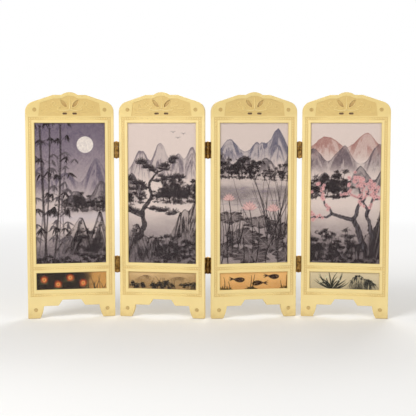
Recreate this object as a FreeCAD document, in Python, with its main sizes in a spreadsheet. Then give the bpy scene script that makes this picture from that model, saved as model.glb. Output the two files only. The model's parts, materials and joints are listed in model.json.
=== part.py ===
"""Tabletop folding screen: four moulded picture panels joined edge to edge by small barrel hinges.

Each panel is two equal moulded half frames, pegged together back to back. Between them lie a clear sheet,
a printed picture card and a backing board behind the tall window, and the same three behind the low strip
window. Six hinges of two leaves and a pin join the panels, and domed nails hold the leaves to the stiles.

Frame: +Z up, +X along the screen, the picture side faces -Y, the origin is on the table at the middle.
"""

import FreeCAD
import Part
import math
import os

import Sketcher
from FreeCAD import Placement, Rotation, Vector

# Driving dimensions in millimetres and degrees, as the text of the sheet's cells
DRIVING = {
    # panel and how it stands
    "panel_height": "280",
    "panel_width": "108",
    "panel_thick": "7",
    "panel_turn": "10",
    "panel_gap": "6",
    "fold_gap": "1",
    # rails, stiles and windows
    "stile_width": "11",
    "apron_height": "15.2",
    "notch_rise": "7.4",
    "bottom_rail": "13",
    "strip_window": "21",
    "middle_rail": "11.6",
    "crest_height": "37.8",
    # apron and feet
    "notch_half": "11.5",
    "notch_slope": "5",
    "foot_sole": "15",
    "foot_top": "19.5",
    "foot_swell": "0.9",
    # crest outline: the flanks slope from the flat beside the crown down to the stiles' edges
    "crest_flat": "20",
    "flank_drop": "14.8",
    "shoulder_round": "13",
    "crown_half": "10",
    "crown_rise": "3.4",
    "corner_round": "1.2",
    "edge_round": "0.7",
    # moulded relief on the outer face
    "relief_depth": "0.5",
    "channel_width": "4",
    "crest_margin": "4.6",
    "field_inset": "16",
    "field_lift": "1.2",
    "field_lean": "2",
    "slot_length": "5.6",
    "slot_radius": "1.2",
    "slot_spread": "12",
    "slot_lift": "2.9",
    "slot_depth": "2",
    "petal_foot": "3.2",
    "petal_tip": "11",
    "petal_lift": "7.6",
    "petal_drop": "1.4",
    "petal_swell": "2.1",
    "petal_depth": "1.6",
    "rosette_radius": "2.4",
    "foot_rosette": "10.6",
    "foot_rosette_inset": "9.7",
    "shoulder_rosette": "21.5",
    "shoulder_rosette_inset": "11.3",
    "sight_bevel": "0.8",
    # rebate behind the windows and the sheets in it
    "lip_thick": "1.5",
    "lip_width": "3",
    "sheet_clear": "0.3",
    "glazing_thick": "0.6",
    "picture_thick": "0.4",
    # pegs between the half frames
    "peg_radius": "1.2",
    "peg_height": "1.7",
    "peg_clear": "0.08",
    # hinges
    "hinge_length": "20",
    "hinge_rise": "66",
    "hinge_drop": "71",
    "leaf_thick": "0.9",
    "leaf_margin": "1.5",
    "leaf_corner": "1",
    "middle_knuckle": "7.6",
    "knuckle_clear": "0.2",
    "knuckle_room": "0.3",
    "pin_radius": "1",
    "pin_clear": "0.03",
    "pin_head_radius": "2.1",
    "pin_head_height": "0.9",
    # nails through the leaves
    "nail_radius": "0.6",
    "nail_clear": "0.03",
    "nail_head_radius": "1.1",
    "nail_head_height": "0.6",
    "nail_bite": "4.2",
    "nail_point": "1",
    "nail_tip": "0.15",
    "nail_spread": "12",
    "nail_inset": "1.3",
    # room past the end of a peg or a nail in its blind hole
    "end_clear": "0.3",
}

# Each joint: its left and right panel, and the face that its hinge pins stand on
JOINTS = {"1_2": (1, 2, "front"), "2_3": (2, 3, "rear"), "3_4": (3, 4, "front")}
PANELS = (1, 2, 3, 4)
HINGE_PLACES = ("lower", "upper")
SIDES = {"left": -1, "right": 1}
UP = Vector(0, 0, 1)
NEAR = 1e-4
# the numbers by which a sketch knows its own axes
LEVEL_AXIS, UPRIGHT_AXIS = -1, -2
# a dome's arc is first drawn with this share of its height as rise
FIRST_BOW = 0.25


class Formula:
    """A size: its text for the document's expressions, and its number for placing things."""

    def __init__(self, text, number):
        self.text = text
        self.number = number

    def __add__(self, other):
        other = formula(other)
        return Formula(f"({self.text} + {other.text})", self.number + other.number)

    def __sub__(self, other):
        other = formula(other)
        return Formula(f"({self.text} - {other.text})", self.number - other.number)

    def __mul__(self, other):
        other = formula(other)
        return Formula(f"({self.text} * {other.text})", self.number * other.number)

    def __truediv__(self, other):
        other = formula(other)
        return Formula(f"({self.text} / {other.text})", self.number / other.number)

    def __neg__(self):
        return Formula(f"(0 - {self.text})", -self.number)


def formula(value):
    """A formula from a formula or a plain number."""
    if isinstance(value, Formula):
        return value
    return Formula(repr(float(value)), float(value))


class Sizes:
    """All sizes by name, each a formula."""


def make_sheet(doc):
    """Fills the sheet with the driving dimensions and returns them as formulas that name their cells."""
    sheet = doc.addObject("Spreadsheet::Sheet", "Sizes")
    sizes = Sizes()
    for row, (alias, text) in enumerate(DRIVING.items(), start=1):
        sheet.set(f"A{row}", alias)
        sheet.set(f"B{row}", text)
        sheet.setAlias(f"B{row}", alias)
        setattr(sizes, alias, Formula(f"Sizes.{alias}", float(text)))
    doc.recompute()
    return sizes


def add_derived(sizes):
    """Works out the sizes that follow from the driving ones."""
    sizes.half_width = sizes.panel_width / 2
    sizes.half_thick = sizes.panel_thick / 2
    sizes.window_half = sizes.half_width - sizes.stile_width
    # heights of the rails, from the table up
    sizes.notch_top = sizes.apron_height + sizes.notch_rise
    sizes.strip_sill = sizes.notch_top + sizes.bottom_rail
    sizes.strip_head = sizes.strip_sill + sizes.strip_window
    sizes.main_sill = sizes.strip_head + sizes.middle_rail
    sizes.main_head = sizes.panel_height - sizes.crest_height
    # the bead channel runs along the middle of the stiles and rails
    sizes.channel_half = sizes.channel_width / 2
    sizes.channel_x = sizes.half_width - sizes.stile_width / 2
    sizes.channel_low = sizes.notch_top + sizes.bottom_rail / 2
    sizes.channel_mid = sizes.strip_head + sizes.middle_rail / 2
    sizes.channel_high = sizes.main_head + sizes.stile_width / 2
    sizes.field_low = sizes.channel_high + sizes.channel_half + sizes.field_lift
    # the rebate behind a window
    sizes.rebate_half = sizes.window_half + sizes.lip_width
    sizes.rebate_depth = sizes.half_thick - sizes.lip_thick
    sizes.sheet_width = (sizes.rebate_half - sizes.sheet_clear) * 2
    sizes.backing_thick = sizes.rebate_depth * 2 - sizes.glazing_thick - sizes.picture_thick
    # the hinge stands with its barrel in the gap, just clear of the face that it folds on
    sizes.knuckle_radius = sizes.panel_gap / 2
    sizes.axis_depth = sizes.half_thick + sizes.fold_gap / 2
    sizes.axis_reach = sizes.half_width + sizes.knuckle_radius
    sizes.leaf_inner = sizes.knuckle_radius - sizes.leaf_thick
    sizes.nail_set = sizes.axis_depth + sizes.nail_inset
    sizes.leaf_depth = sizes.nail_set + sizes.leaf_margin
    sizes.hinge_heights = {
        "lower": sizes.hinge_rise,
        "upper": sizes.panel_height - sizes.hinge_drop,
    }
    sizes.windows = {
        "strip": (sizes.strip_sill, sizes.strip_head),
        "main": (sizes.main_sill, sizes.main_head),
    }


def bind(thing, name, size):
    """Ties a property to the sheet."""
    thing.setExpression(name, formula(size).text)


def dimension(sketch, kind, *where):
    """Adds a sketch dimension whose last value is a formula."""
    size = formula(where[-1])
    index = sketch.addConstraint(Sketcher.Constraint(kind, *where[:-1], size.number))
    bind(sketch, f"Constraints[{index}]", size)


def new_body(doc, label):
    """An empty body with its label."""
    body = doc.addObject("PartDesign::Body", label)
    body.Label = label
    return body


def new_sketch(body, name, plane="XY_Plane", lift=0):
    """A sketch on one of the body's own planes, lifted off it by a formula."""
    sketch = body.newObject("Sketcher::SketchObject", name)
    support = next(f for f in body.Origin.OriginFeatures if f.Role == plane)
    sketch.AttachmentSupport = [(support, "")]
    sketch.MapMode = "FlatFace"
    bind(sketch, "AttachmentOffset.Base.z", lift)
    return sketch


def place_point(sketch, edge, end, x, y):
    """Dimensions one point of a sketch from its origin, or puts it on an axis."""
    across = (formula(x), "DistanceX", UPRIGHT_AXIS)
    upward = (formula(y), "DistanceY", LEVEL_AXIS)
    for size, kind, axis in (across, upward):
        if size.number == 0:
            sketch.addConstraint(Sketcher.Constraint("PointOnObject", edge, end, axis))
        else:
            dimension(sketch, kind, -1, 1, edge, end, size)


def add_edge(sketch, first, last, swell):
    """Adds a straight edge, or an arc that stands out by swell on the right hand of its run."""
    if swell is None:
        return sketch.addGeometry(Part.LineSegment(first, last))
    run = last - first
    side = Vector(run.y, -run.x, 0).normalize()
    middle = (first + last) / 2 + side * swell.number
    return sketch.addGeometry(Part.Arc(first, middle, last))


def bow_radius(first, last, swell):
    """The radius of an arc over the chord between two corners, from its rise."""
    run, rise = formula(last[0]) - first[0], formula(last[1]) - first[1]
    return (run * run + rise * rise) / (swell * 8) + swell / 2


def add_outline(sketch, corners, swells=None, dome_axis=None):
    """Adds a closed outline through corners, with arcs after those corners that swells gives a rise for.

    With a dome axis, the arcs are centred on that axis of the sketch, so that they turn into domes about it.
    Each rise then only says which way its arc bows.
    """
    swells = swells or {}
    points = [Vector(formula(x).number, formula(y).number, 0) for x, y in corners]
    count = len(points)
    edges = [add_edge(sketch, points[i], points[(i + 1) % count], swells.get(i)) for i in range(count)]
    # an arc may be kept the other way round, so its first end is looked up
    starts = [
        1 if sketch.getPoint(edge, 1).distanceToPoint(point) < NEAR else 2
        for edge, point in zip(edges, points)
    ]
    for i in range(count):
        before, before_end = edges[i - 1], 3 - starts[i - 1]
        sketch.addConstraint(Sketcher.Constraint("Coincident", before, before_end, edges[i], starts[i]))
        place_point(sketch, edges[i], starts[i], *corners[i])
    for i, swell in swells.items():
        if dome_axis:
            sketch.addConstraint(Sketcher.Constraint("PointOnObject", edges[i], 3, dome_axis))
        else:
            dimension(sketch, "Radius", edges[i], bow_radius(corners[i], corners[(i + 1) % count], swell))


def add_even_outline(sketch, right, swells=None, top_swell=None):
    """Adds an outline that is even about the upright axis, from its right hand corners, bottom to top."""
    corners = right + [(-x, y) for x, y in reversed(right)]
    both = dict(swells or {})
    for i, swell in (swells or {}).items():
        both[len(corners) - 2 - i] = swell
    if top_swell:
        both[len(right) - 1] = top_swell
    add_outline(sketch, corners, both)


def add_circle(sketch, x, y, radius):
    """Adds a circle, placed from the sketch's origin."""
    centre = Vector(formula(x).number, formula(y).number, 0)
    edge = sketch.addGeometry(Part.Circle(centre, UP, radius.number))
    place_point(sketch, edge, 3, x, y)
    dimension(sketch, "Radius", edge, radius)


def add_slot(sketch, x, y, length, radius):
    """Adds a level slot with half round ends, placed by its middle."""
    reach = length / 2 - radius
    ends = []
    for side in SIDES.values():
        middle = x + reach * side
        circle = Part.Circle(Vector(middle.number, y.number, 0), UP, radius.number)
        start = -math.pi / 2 * side
        edge = sketch.addGeometry(Part.ArcOfCircle(circle, start, start + math.pi))
        place_point(sketch, edge, 3, middle, y)
        dimension(sketch, "Radius", edge, radius)
        for end in (1, 2):
            sketch.addConstraint(Sketcher.Constraint("Vertical", edge, end, edge, 3))
        ends.append(edge)
    for first, last in (ends, reversed(ends)):
        line = sketch.addGeometry(Part.LineSegment(sketch.getPoint(first, 2), sketch.getPoint(last, 1)))
        sketch.addConstraint(Sketcher.Constraint("Coincident", first, 2, line, 1))
        sketch.addConstraint(Sketcher.Constraint("Coincident", line, 2, last, 1))


def pad(body, sketch, length, backwards=False):
    """Raises a sketch by a length."""
    feature = body.newObject("PartDesign::Pad", sketch.Name + "_pad")
    feature.Profile = sketch
    feature.Reversed = backwards
    bind(feature, "Length", length)
    body.Document.recompute()


def pocket(body, sketch, depth=None, backwards=False):
    """Cuts a sketch to a depth, or right through, and checks that it took material away."""
    before = body.Shape.Volume
    feature = body.newObject("PartDesign::Pocket", sketch.Name + "_pocket")
    feature.Profile = sketch
    feature.Reversed = backwards
    if depth is None:
        feature.Type = "ThroughAll"
    else:
        bind(feature, "Length", depth)
    body.Document.recompute()
    if body.Shape.Volume > before - NEAR:
        raise ValueError(f"{body.Label}: {sketch.Label} cut nothing")


def revolve(body, sketch, axis):
    """Turns a sketch about one of its own axes."""
    feature = body.newObject("PartDesign::Revolution", sketch.Name + "_turn")
    feature.Profile = sketch
    feature.ReferenceAxis = (sketch, [axis])
    feature.Angle = 360
    body.Document.recompute()


def dress(body, kind, edges, size):
    """Rounds or bevels edges of the body's present shape."""
    tip = body.Tip
    numbered = enumerate(tip.Shape.Edges, start=1)
    names = [f"Edge{i}" for i, edge in numbered if any(edge.isSame(other) for other in edges)]
    feature = body.newObject(f"PartDesign::{kind}", f"{body.Name}_{kind}")
    feature.Base = (tip, names)
    bind(feature, "Radius" if kind == "Fillet" else "Size", size)
    body.Document.recompute()


def corner_edges(body, corners):
    """The edges through the body's thickness that stand at some corners of its even outline."""
    places = [(formula(x).number, formula(y).number) for x, y in corners]
    found = []
    for edge in body.Tip.Shape.Edges:
        box = edge.BoundBox
        upright = max(box.XLength, box.YLength) < NEAR
        if upright and any(math.dist((abs(box.XMin), box.YMin), place) < NEAR for place in places):
            found.append(edge)
    return found


# The moulded half frame: x across, y up, z out of its face, and the seam between the halves at z = 0


def frame_outline(body, sizes):
    """The silhouette: bracket feet, stepped apron, straight stiles, round shoulders, arched crest, crown."""
    top, edge = sizes.panel_height, sizes.half_width
    shoulder = (edge, top - sizes.flank_drop)
    right = [
        (sizes.notch_half, sizes.notch_top),
        (sizes.notch_half + sizes.notch_slope, sizes.apron_height),
        (edge - sizes.foot_top, sizes.apron_height),
        (edge - sizes.foot_sole, 0),
        (edge, 0),
        shoulder,
        (sizes.crest_flat, top - sizes.crown_rise),
        (sizes.crown_half, top - sizes.crown_rise),
    ]
    sketch = new_sketch(body, "Outline")
    add_even_outline(sketch, right, {2: sizes.foot_swell}, sizes.crown_rise)
    pad(body, sketch, sizes.half_thick)
    dress(body, "Fillet", corner_edges(body, [shoulder]), sizes.shoulder_round)
    dress(body, "Fillet", corner_edges(body, right), sizes.corner_round)


def frame_windows(body, sizes):
    """The two sight openings."""
    sketch = new_sketch(body, "Windows")
    for sill, head in sizes.windows.values():
        add_even_outline(sketch, [(sizes.window_half, sill), (sizes.window_half, head)])
    pocket(body, sketch, backwards=True)


def frame_rebates(body, sizes):
    """The wider recesses behind the windows that hold the sheets against the lip."""
    sketch = new_sketch(body, "Rebates")
    for sill, head in sizes.windows.values():
        low, high = sill - sizes.lip_width, head + sizes.lip_width
        add_even_outline(sketch, [(sizes.rebate_half, low), (sizes.rebate_half, high)])
    pocket(body, sketch, sizes.rebate_depth, backwards=True)


def frame_edges(body, sizes):
    """Rounds the silhouette's edge and bevels the sight edges, on the outer face."""
    face = max(body.Tip.Shape.Faces, key=lambda f: f.CenterOfMass.z)
    dress(body, "Fillet", face.OuterWire.Edges, sizes.edge_round)
    face = max(body.Tip.Shape.Faces, key=lambda f: f.CenterOfMass.z)
    inner_wires = [wire for wire in face.Wires if not wire.isSame(face.OuterWire)]
    sights = [wire for wire in inner_wires if wire.BoundBox.XLength > sizes.window_half.number]
    dress(body, "Chamfer", [edge for wire in sights for edge in wire.Edges], sizes.sight_bevel)


def frame_relief(body, sizes):
    """The sunk parts of the outer face: bead channel, crest field, its slots and petals, rosette seats."""
    top, margin = sizes.panel_height, sizes.crest_margin
    half = sizes.channel_half
    outer, inner = sizes.channel_x + half, sizes.channel_x - half
    low, mid, high = sizes.channel_low, sizes.channel_mid, sizes.channel_high
    channel = new_sketch(body, "BeadChannel", lift=sizes.half_thick)
    add_even_outline(channel, [(outer, low - half), (outer, high + half)])
    add_even_outline(channel, [(inner, low + half), (inner, mid - half)])
    add_even_outline(channel, [(inner, mid + half), (inner, high - half)])
    pocket(body, channel, sizes.relief_depth)

    # the field keeps its margin below the crest: its sides run along the flanks
    reach, shelf = sizes.half_width - sizes.field_inset, top - sizes.crown_rise - margin
    far = reach - sizes.field_lean
    slope = (sizes.flank_drop - sizes.crown_rise) / (sizes.half_width - sizes.crest_flat)
    field = new_sketch(body, "CrestField", lift=sizes.half_thick)
    right = [
        (reach, sizes.field_low),
        (far, shelf - (far - sizes.crest_flat) * slope),
        (sizes.crest_flat, shelf),
        (sizes.crown_half, shelf),
    ]
    add_even_outline(field, right, top_swell=sizes.crown_rise)
    pocket(body, field, sizes.relief_depth)

    slots = new_sketch(body, "CrestSlots", lift=sizes.half_thick)
    slot_height = sizes.field_low + sizes.slot_lift
    for side in SIDES.values():
        middle = sizes.slot_spread / 2 * side
        add_slot(slots, middle, slot_height, sizes.slot_length, sizes.slot_radius)
    pocket(body, slots, sizes.slot_depth)

    petals = new_sketch(body, "CrestPetals", lift=sizes.half_thick)
    petal_low, petal_high = slot_height + sizes.petal_lift, shelf - sizes.petal_drop
    for side in SIDES.values():
        ends = [(sizes.petal_foot * side, petal_low), (sizes.petal_tip * side, petal_high)]
        add_outline(petals, ends, {0: sizes.petal_swell, 1: sizes.petal_swell})
    pocket(body, petals, sizes.petal_depth)

    seats = new_sketch(body, "RosetteSeats", lift=sizes.half_thick)
    places = (
        (sizes.half_width - sizes.foot_rosette_inset, sizes.foot_rosette),
        (sizes.half_width - sizes.shoulder_rosette_inset, top - sizes.shoulder_rosette),
    )
    for side in SIDES.values():
        for across, height in places:
            add_circle(seats, across * side, height, sizes.rosette_radius)
    pocket(body, seats, sizes.relief_depth)


def frame_pegs(body, sizes):
    """Three pegs on one side and three sockets on the other, so that two equal halves plug together."""
    middle = (sizes.main_sill + sizes.main_head) / 2
    heights = (sizes.channel_low, middle, sizes.channel_high)
    sockets = new_sketch(body, "Sockets")
    for height in heights:
        add_circle(sockets, -sizes.channel_x, height, sizes.peg_radius + sizes.peg_clear)
    pocket(body, sockets, sizes.peg_height + sizes.end_clear, backwards=True)
    pegs = new_sketch(body, "Pegs")
    for height in heights:
        add_circle(pegs, sizes.channel_x, height, sizes.peg_radius)
    pad(body, pegs, sizes.peg_height, backwards=True)


def frame_pilots(body, sizes, side):
    """Pilot holes for the hinge nails, drilled into one stile from its edge."""
    sketch = new_sketch(body, f"{side}_pilots", "YZ_Plane", sizes.half_width * SIDES[side])
    for height in sizes.hinge_heights.values():
        for end in (-1, 1):
            along = height + sizes.nail_spread / 2 * end
            add_circle(sketch, along, sizes.nail_inset, sizes.nail_radius + sizes.nail_clear)
    pocket(body, sketch, sizes.nail_bite + sizes.end_clear, backwards=side == "left")


def half_frame(doc, label, sizes, pilot_sides):
    """One moulded half frame, with pilot holes in the stiles that hinge nails reach."""
    body = new_body(doc, label)
    frame_outline(body, sizes)
    frame_windows(body, sizes)
    frame_rebates(body, sizes)
    frame_edges(body, sizes)
    frame_relief(body, sizes)
    frame_pegs(body, sizes)
    for side in pilot_sides:
        frame_pilots(body, sizes, side)
    return body


# The hinge: its pin's axis is z, the leaf lies at +x and reaches to +y


def leaf_strip(body, sizes):
    """The rolled strip: a barrel about the pin, and a flat leaf that leaves it at a tangent."""
    sketch = new_sketch(body, "Strip", lift=-sizes.hinge_length / 2)
    radius, inner, depth = sizes.knuckle_radius.number, sizes.leaf_inner.number, sizes.leaf_depth.number
    opening = math.acos(inner / radius)
    corners = [
        Vector(radius, 0, 0),
        Vector(radius, depth, 0),
        Vector(inner, depth, 0),
        Vector(inner, radius * math.sin(opening), 0),
    ]
    outside, end, inside = [
        sketch.addGeometry(Part.LineSegment(first, last)) for first, last in zip(corners, corners[1:])
    ]
    barrel = sketch.addGeometry(Part.ArcOfCircle(Part.Circle(Vector(), UP, radius), opening, 2 * math.pi))
    rules = [
        ("Coincident", barrel, 3, -1, 1),
        ("Coincident", barrel, 2, outside, 1),
        ("Coincident", outside, 2, end, 1),
        ("Coincident", end, 2, inside, 1),
        ("Coincident", inside, 2, barrel, 1),
        ("PointOnObject", outside, 1, -1),
        ("Vertical", outside),
        ("Horizontal", end),
        ("Vertical", inside),
    ]
    for rule in rules:
        sketch.addConstraint(Sketcher.Constraint(*rule))
    dimension(sketch, "Radius", barrel, sizes.knuckle_radius)
    dimension(sketch, "DistanceY", -1, 1, outside, 2, sizes.leaf_depth)
    dimension(sketch, "DistanceX", end, 2, end, 1, sizes.leaf_thick)
    pad(body, sketch, sizes.hinge_length)


def leaf_turning_room(body, sizes, zones):
    """Clears the strip away round the pin where the other leaf's knuckles turn."""
    for number, (low, high) in enumerate(zones):
        sketch = new_sketch(body, f"Room_{number}", lift=low)
        add_circle(sketch, 0, 0, sizes.knuckle_radius + sizes.knuckle_room)
        pocket(body, sketch, high - low, backwards=True)


def leaf_holes(body, sizes):
    """The pin's bore and the two nail holes."""
    bore = new_sketch(body, "Bore", lift=-sizes.hinge_length / 2)
    add_circle(bore, 0, 0, sizes.pin_radius + sizes.pin_clear)
    pocket(body, bore, backwards=True)
    nails = new_sketch(body, "NailHoles", "YZ_Plane")
    for end in (-1, 1):
        along = sizes.nail_spread / 2 * end
        add_circle(nails, sizes.nail_set, along, sizes.nail_radius + sizes.nail_clear)
    pocket(body, nails, backwards=True)


def leaf_corners(body, sizes):
    """Rounds the two free corners of the leaf."""
    far = sizes.leaf_depth.number - NEAR
    boxes = [(edge, edge.BoundBox) for edge in body.Tip.Shape.Edges]
    corners = [edge for edge, box in boxes if box.YMin > far and box.ZLength < NEAR]
    dress(body, "Fillet", corners, sizes.leaf_corner)


def hinge_leaf(doc, label, sizes, knuckles):
    """A hinge leaf with the two outer knuckles or with the middle one."""
    body = new_body(doc, label)
    leaf_strip(body, sizes)
    half, middle = sizes.hinge_length / 2, sizes.middle_knuckle / 2
    reach = middle + sizes.knuckle_clear
    zones = {"outer": [(-reach, reach)], "middle": [(-half, -middle), (middle, half)]}
    leaf_turning_room(body, sizes, zones[knuckles])
    leaf_holes(body, sizes)
    leaf_corners(body, sizes)
    return body


def hinge_pin(doc, label, sizes):
    """A pin that is headed over at both ends."""
    body = new_body(doc, label)
    sketch = new_sketch(body, "PinSection", "XZ_Plane")
    half, radius, head = sizes.hinge_length / 2, sizes.pin_radius, sizes.pin_head_radius
    tip = half + sizes.pin_head_height
    corners = [(0, -tip), (head, -half), (radius, -half), (radius, half), (head, half), (0, tip)]
    bow = sizes.pin_head_height * FIRST_BOW
    add_outline(sketch, corners, {0: bow, 4: bow}, UPRIGHT_AXIS)
    revolve(body, sketch, "V_Axis")
    return body


def leaf_nail(doc, label, sizes):
    """A domed nail: its head sits on the leaf at x = 0 and its point is at +x."""
    body = new_body(doc, label)
    sketch = new_sketch(body, "NailSection")
    length, radius = sizes.leaf_thick + sizes.nail_bite, sizes.nail_radius
    corners = [
        (-sizes.nail_head_height, 0),
        (length, 0),
        (length, sizes.nail_tip),
        (length - sizes.nail_point, radius),
        (0, radius),
        (0, sizes.nail_head_radius),
    ]
    add_outline(sketch, corners, {5: sizes.nail_head_height * FIRST_BOW}, LEVEL_AXIS)
    revolve(body, sketch, "H_Axis")
    return body


def window_sheet(doc, label, sizes, window, thick):
    """A flat sheet that fills the rebate behind a window, less its clearance."""
    sill, head = sizes.windows[window]
    sheet = doc.addObject("Part::Box", label)
    sheet.Label = label
    bind(sheet, "Length", sizes.sheet_width)
    bind(sheet, "Width", thick)
    bind(sheet, "Height", head - sill + (sizes.lip_width - sizes.sheet_clear) * 2)
    return sheet


# Where everything stands


def turned(angle):
    """A turn about the upright."""
    return Rotation(UP, angle)


def stand_panels(sizes):
    """Each panel's middle and turn in the zigzag, and the foot of each joint's axis."""
    turns = {panel: sizes.panel_turn.number * (1 if panel % 2 else -1) for panel in PANELS}
    middles, axes = {1: Vector()}, {}
    reach = sizes.axis_reach.number
    for joint, (left, right, face) in JOINTS.items():
        depth = sizes.axis_depth.number * (-1 if face == "front" else 1)
        axes[joint] = middles[left] + turned(turns[left]).multVec(Vector(reach, depth, 0))
        middles[right] = axes[joint] - turned(turns[right]).multVec(Vector(-reach, depth, 0))
    centre = (middles[1] + middles[4]) / 2
    stands = {panel: Placement(middles[panel] - centre, turned(turns[panel])) for panel in PANELS}
    return stands, {joint: axis - centre for joint, axis in axes.items()}


def nailed_sides(panel, half):
    """The sides of a panel's half frame, as seen on its own face, that hinge nails go into."""
    sides = []
    for left, right, face in JOINTS.values():
        # a leaf reaches from its pin's face past the seam, so its nails bite in the other half
        if panel in (left, right) and face != half:
            on_right = panel == left
            sides.append("right" if on_right == (half == "front") else "left")
    return sides


def make_panel(doc, sizes, panel, stand):
    """The half frames and sheets of one panel."""
    upright = Rotation(Vector(1, 0, 0), 90)
    pieces = []
    for half, about in (("front", 0), ("rear", 180)):
        frame = half_frame(doc, f"{half}_frame_{panel}", sizes, nailed_sides(panel, half))
        frame.Placement = stand * Placement(Vector(), turned(about) * upright)
        pieces.append(frame)
    layers = (
        ("glazing", sizes.glazing_thick),
        ("picture", sizes.picture_thick),
        ("backing", sizes.backing_thick),
    )
    for window, (sill, _) in sizes.windows.items():
        low = sill - sizes.lip_width + sizes.sheet_clear
        front = -sizes.rebate_depth
        for layer, thick in layers:
            sheet = window_sheet(doc, f"{window}_{layer}_{panel}", sizes, window, thick)
            corner = Vector(-sizes.sheet_width.number / 2, front.number, low.number)
            sheet.Placement = stand * Placement(corner, Rotation())
            front = front + thick
            pieces.append(sheet)
    return pieces


def make_hinge(doc, sizes, joint, place, stands, axis):
    """One hinge: two leaves, their pin, and the nails of each leaf listed by panel."""
    left, right, face = JOINTS[joint]
    foot = axis + UP * sizes.hinge_heights[place].number
    flips = {
        ("left", "front"): Rotation(Vector(0, 1, 0), 180),
        ("left", "rear"): Rotation(UP, 180),
        ("right", "front"): Rotation(),
        ("right", "rear"): Rotation(Vector(1, 0, 0), 180),
    }
    name = f"hinge_{joint}_{place}"
    pieces, nails = [], {}
    for side, panel, knuckles in (("left", left, "outer"), ("right", right, "middle")):
        leaf = hinge_leaf(doc, f"{name}_{side}_leaf", sizes, knuckles)
        leaf.Placement = Placement(foot, stands[panel].Rotation * flips[side, face])
        pieces.append(leaf)
        for end in (-1, 1):
            nail = leaf_nail(doc, f"{name}_{side}_nail", sizes)
            seat = Vector(sizes.leaf_inner.number, sizes.nail_set.number, sizes.nail_spread.number / 2 * end)
            nail.Placement = leaf.Placement * Placement(seat, Rotation())
            nails.setdefault(panel, []).append(nail)
    pin = hinge_pin(doc, f"{name}_pin", sizes)
    pin.Placement = Placement(foot, stands[left].Rotation)
    pieces.append(pin)
    return pieces, nails


def make_screen(doc, sizes):
    """All the pieces of the screen, in their places."""
    stands, axes = stand_panels(sizes)
    pieces = []
    for panel in PANELS:
        pieces += make_panel(doc, sizes, panel, stands[panel])
    nails = {panel: [] for panel in PANELS}
    for joint, axis in axes.items():
        for place in HINGE_PLACES:
            hinge, hinge_nails = make_hinge(doc, sizes, joint, place, stands, axis)
            pieces += hinge
            for panel, some in hinge_nails.items():
                nails[panel] += some
    for panel in PANELS:
        group = doc.addObject("Part::Compound", f"hinge_nails_{panel}")
        group.Label = f"hinge_nails_{panel}"
        group.Links = nails[panel]
        pieces.append(group)
    return pieces


def check(doc, pieces):
    """Stops if anything in the document failed, or a piece has no sound shape."""
    for thing in doc.Objects:
        if "Invalid" in thing.State or "Error" in thing.State:
            raise ValueError(f"{thing.Label}: {thing.State}")
    for piece in pieces:
        if piece.Shape.isNull() or not piece.Shape.isValid():
            raise ValueError(f"{piece.Label} has no sound shape")


def main():
    """Builds the screen and writes each piece to its own file."""
    doc = FreeCAD.newDocument("folding_screen")
    sizes = make_sheet(doc)
    add_derived(sizes)
    pieces = make_screen(doc, sizes)
    doc.recompute()
    check(doc, pieces)
    os.makedirs("parts", exist_ok=True)
    for piece in pieces:
        piece.Shape.exportStep(f"parts/{piece.Label}.step")
    print(f"{len(pieces)} pieces written")


main()
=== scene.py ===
# %% [markdown]
# # A tabletop folding screen
#
# Four moulded picture panels stand in a zigzag on a table, joined by small brass hinges. The construction
# model comes in finished, with every frame half, sheet, leaf, pin and nail in its place. This lesson gives
# it its looks: a finish for each surface, the raised ornament of the mouldings, and the pictures behind the
# clear sheets.

# %% Load the construction model
import json
import math

import bmesh
import bpy
import numpy as np
from mathutils import Matrix, Vector


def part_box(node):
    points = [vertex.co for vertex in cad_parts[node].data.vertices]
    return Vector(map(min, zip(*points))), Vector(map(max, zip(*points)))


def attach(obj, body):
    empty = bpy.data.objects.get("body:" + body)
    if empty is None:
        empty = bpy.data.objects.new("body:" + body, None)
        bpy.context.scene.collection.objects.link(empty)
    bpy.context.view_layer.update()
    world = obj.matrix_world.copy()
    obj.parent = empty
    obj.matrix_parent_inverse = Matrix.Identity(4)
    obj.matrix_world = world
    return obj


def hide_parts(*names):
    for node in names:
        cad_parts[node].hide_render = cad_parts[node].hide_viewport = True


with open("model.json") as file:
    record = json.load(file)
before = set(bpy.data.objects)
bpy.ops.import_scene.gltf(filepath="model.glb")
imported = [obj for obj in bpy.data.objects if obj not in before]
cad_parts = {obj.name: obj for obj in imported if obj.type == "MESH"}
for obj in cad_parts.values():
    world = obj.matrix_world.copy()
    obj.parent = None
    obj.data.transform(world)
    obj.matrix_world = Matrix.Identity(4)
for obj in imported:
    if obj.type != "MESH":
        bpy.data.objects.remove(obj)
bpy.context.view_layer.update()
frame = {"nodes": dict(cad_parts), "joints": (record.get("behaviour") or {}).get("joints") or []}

# %% [markdown]
# ## Where the panels stand
#
# Every panel is the same thing turned a little to the left or to the right. It is easiest to shape ornament
# once for an upright panel at the origin, with the picture side towards -Y, and to move the finished mesh
# into place. The place is read from the model: a panel's middle is the middle of its two half frames, and
# its turn follows from the hinges, which open the screen flat at twice that angle. A panel's sizes could be
# typed in again, but sizes that are measured on the model follow it when it changes.

# %% Places of the panels
MM = 0.001
PANELS = (1, 2, 3, 4)
panel_turn = math.radians(-frame["joints"][0]["range_deg"][0] / 2)


def panel_stand(panel):
    """The middle of a panel on the table, and its turn about the upright."""
    boxes = [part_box(f"{half}_frame_{panel}") for half in ("front", "rear")]
    low = np.min([box[0] for box in boxes], axis=0)
    high = np.max([box[1] for box in boxes], axis=0)
    middle = Vector((low + high) / 2)
    middle.z = 0
    return middle, panel_turn if panel % 2 else -panel_turn


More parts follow.
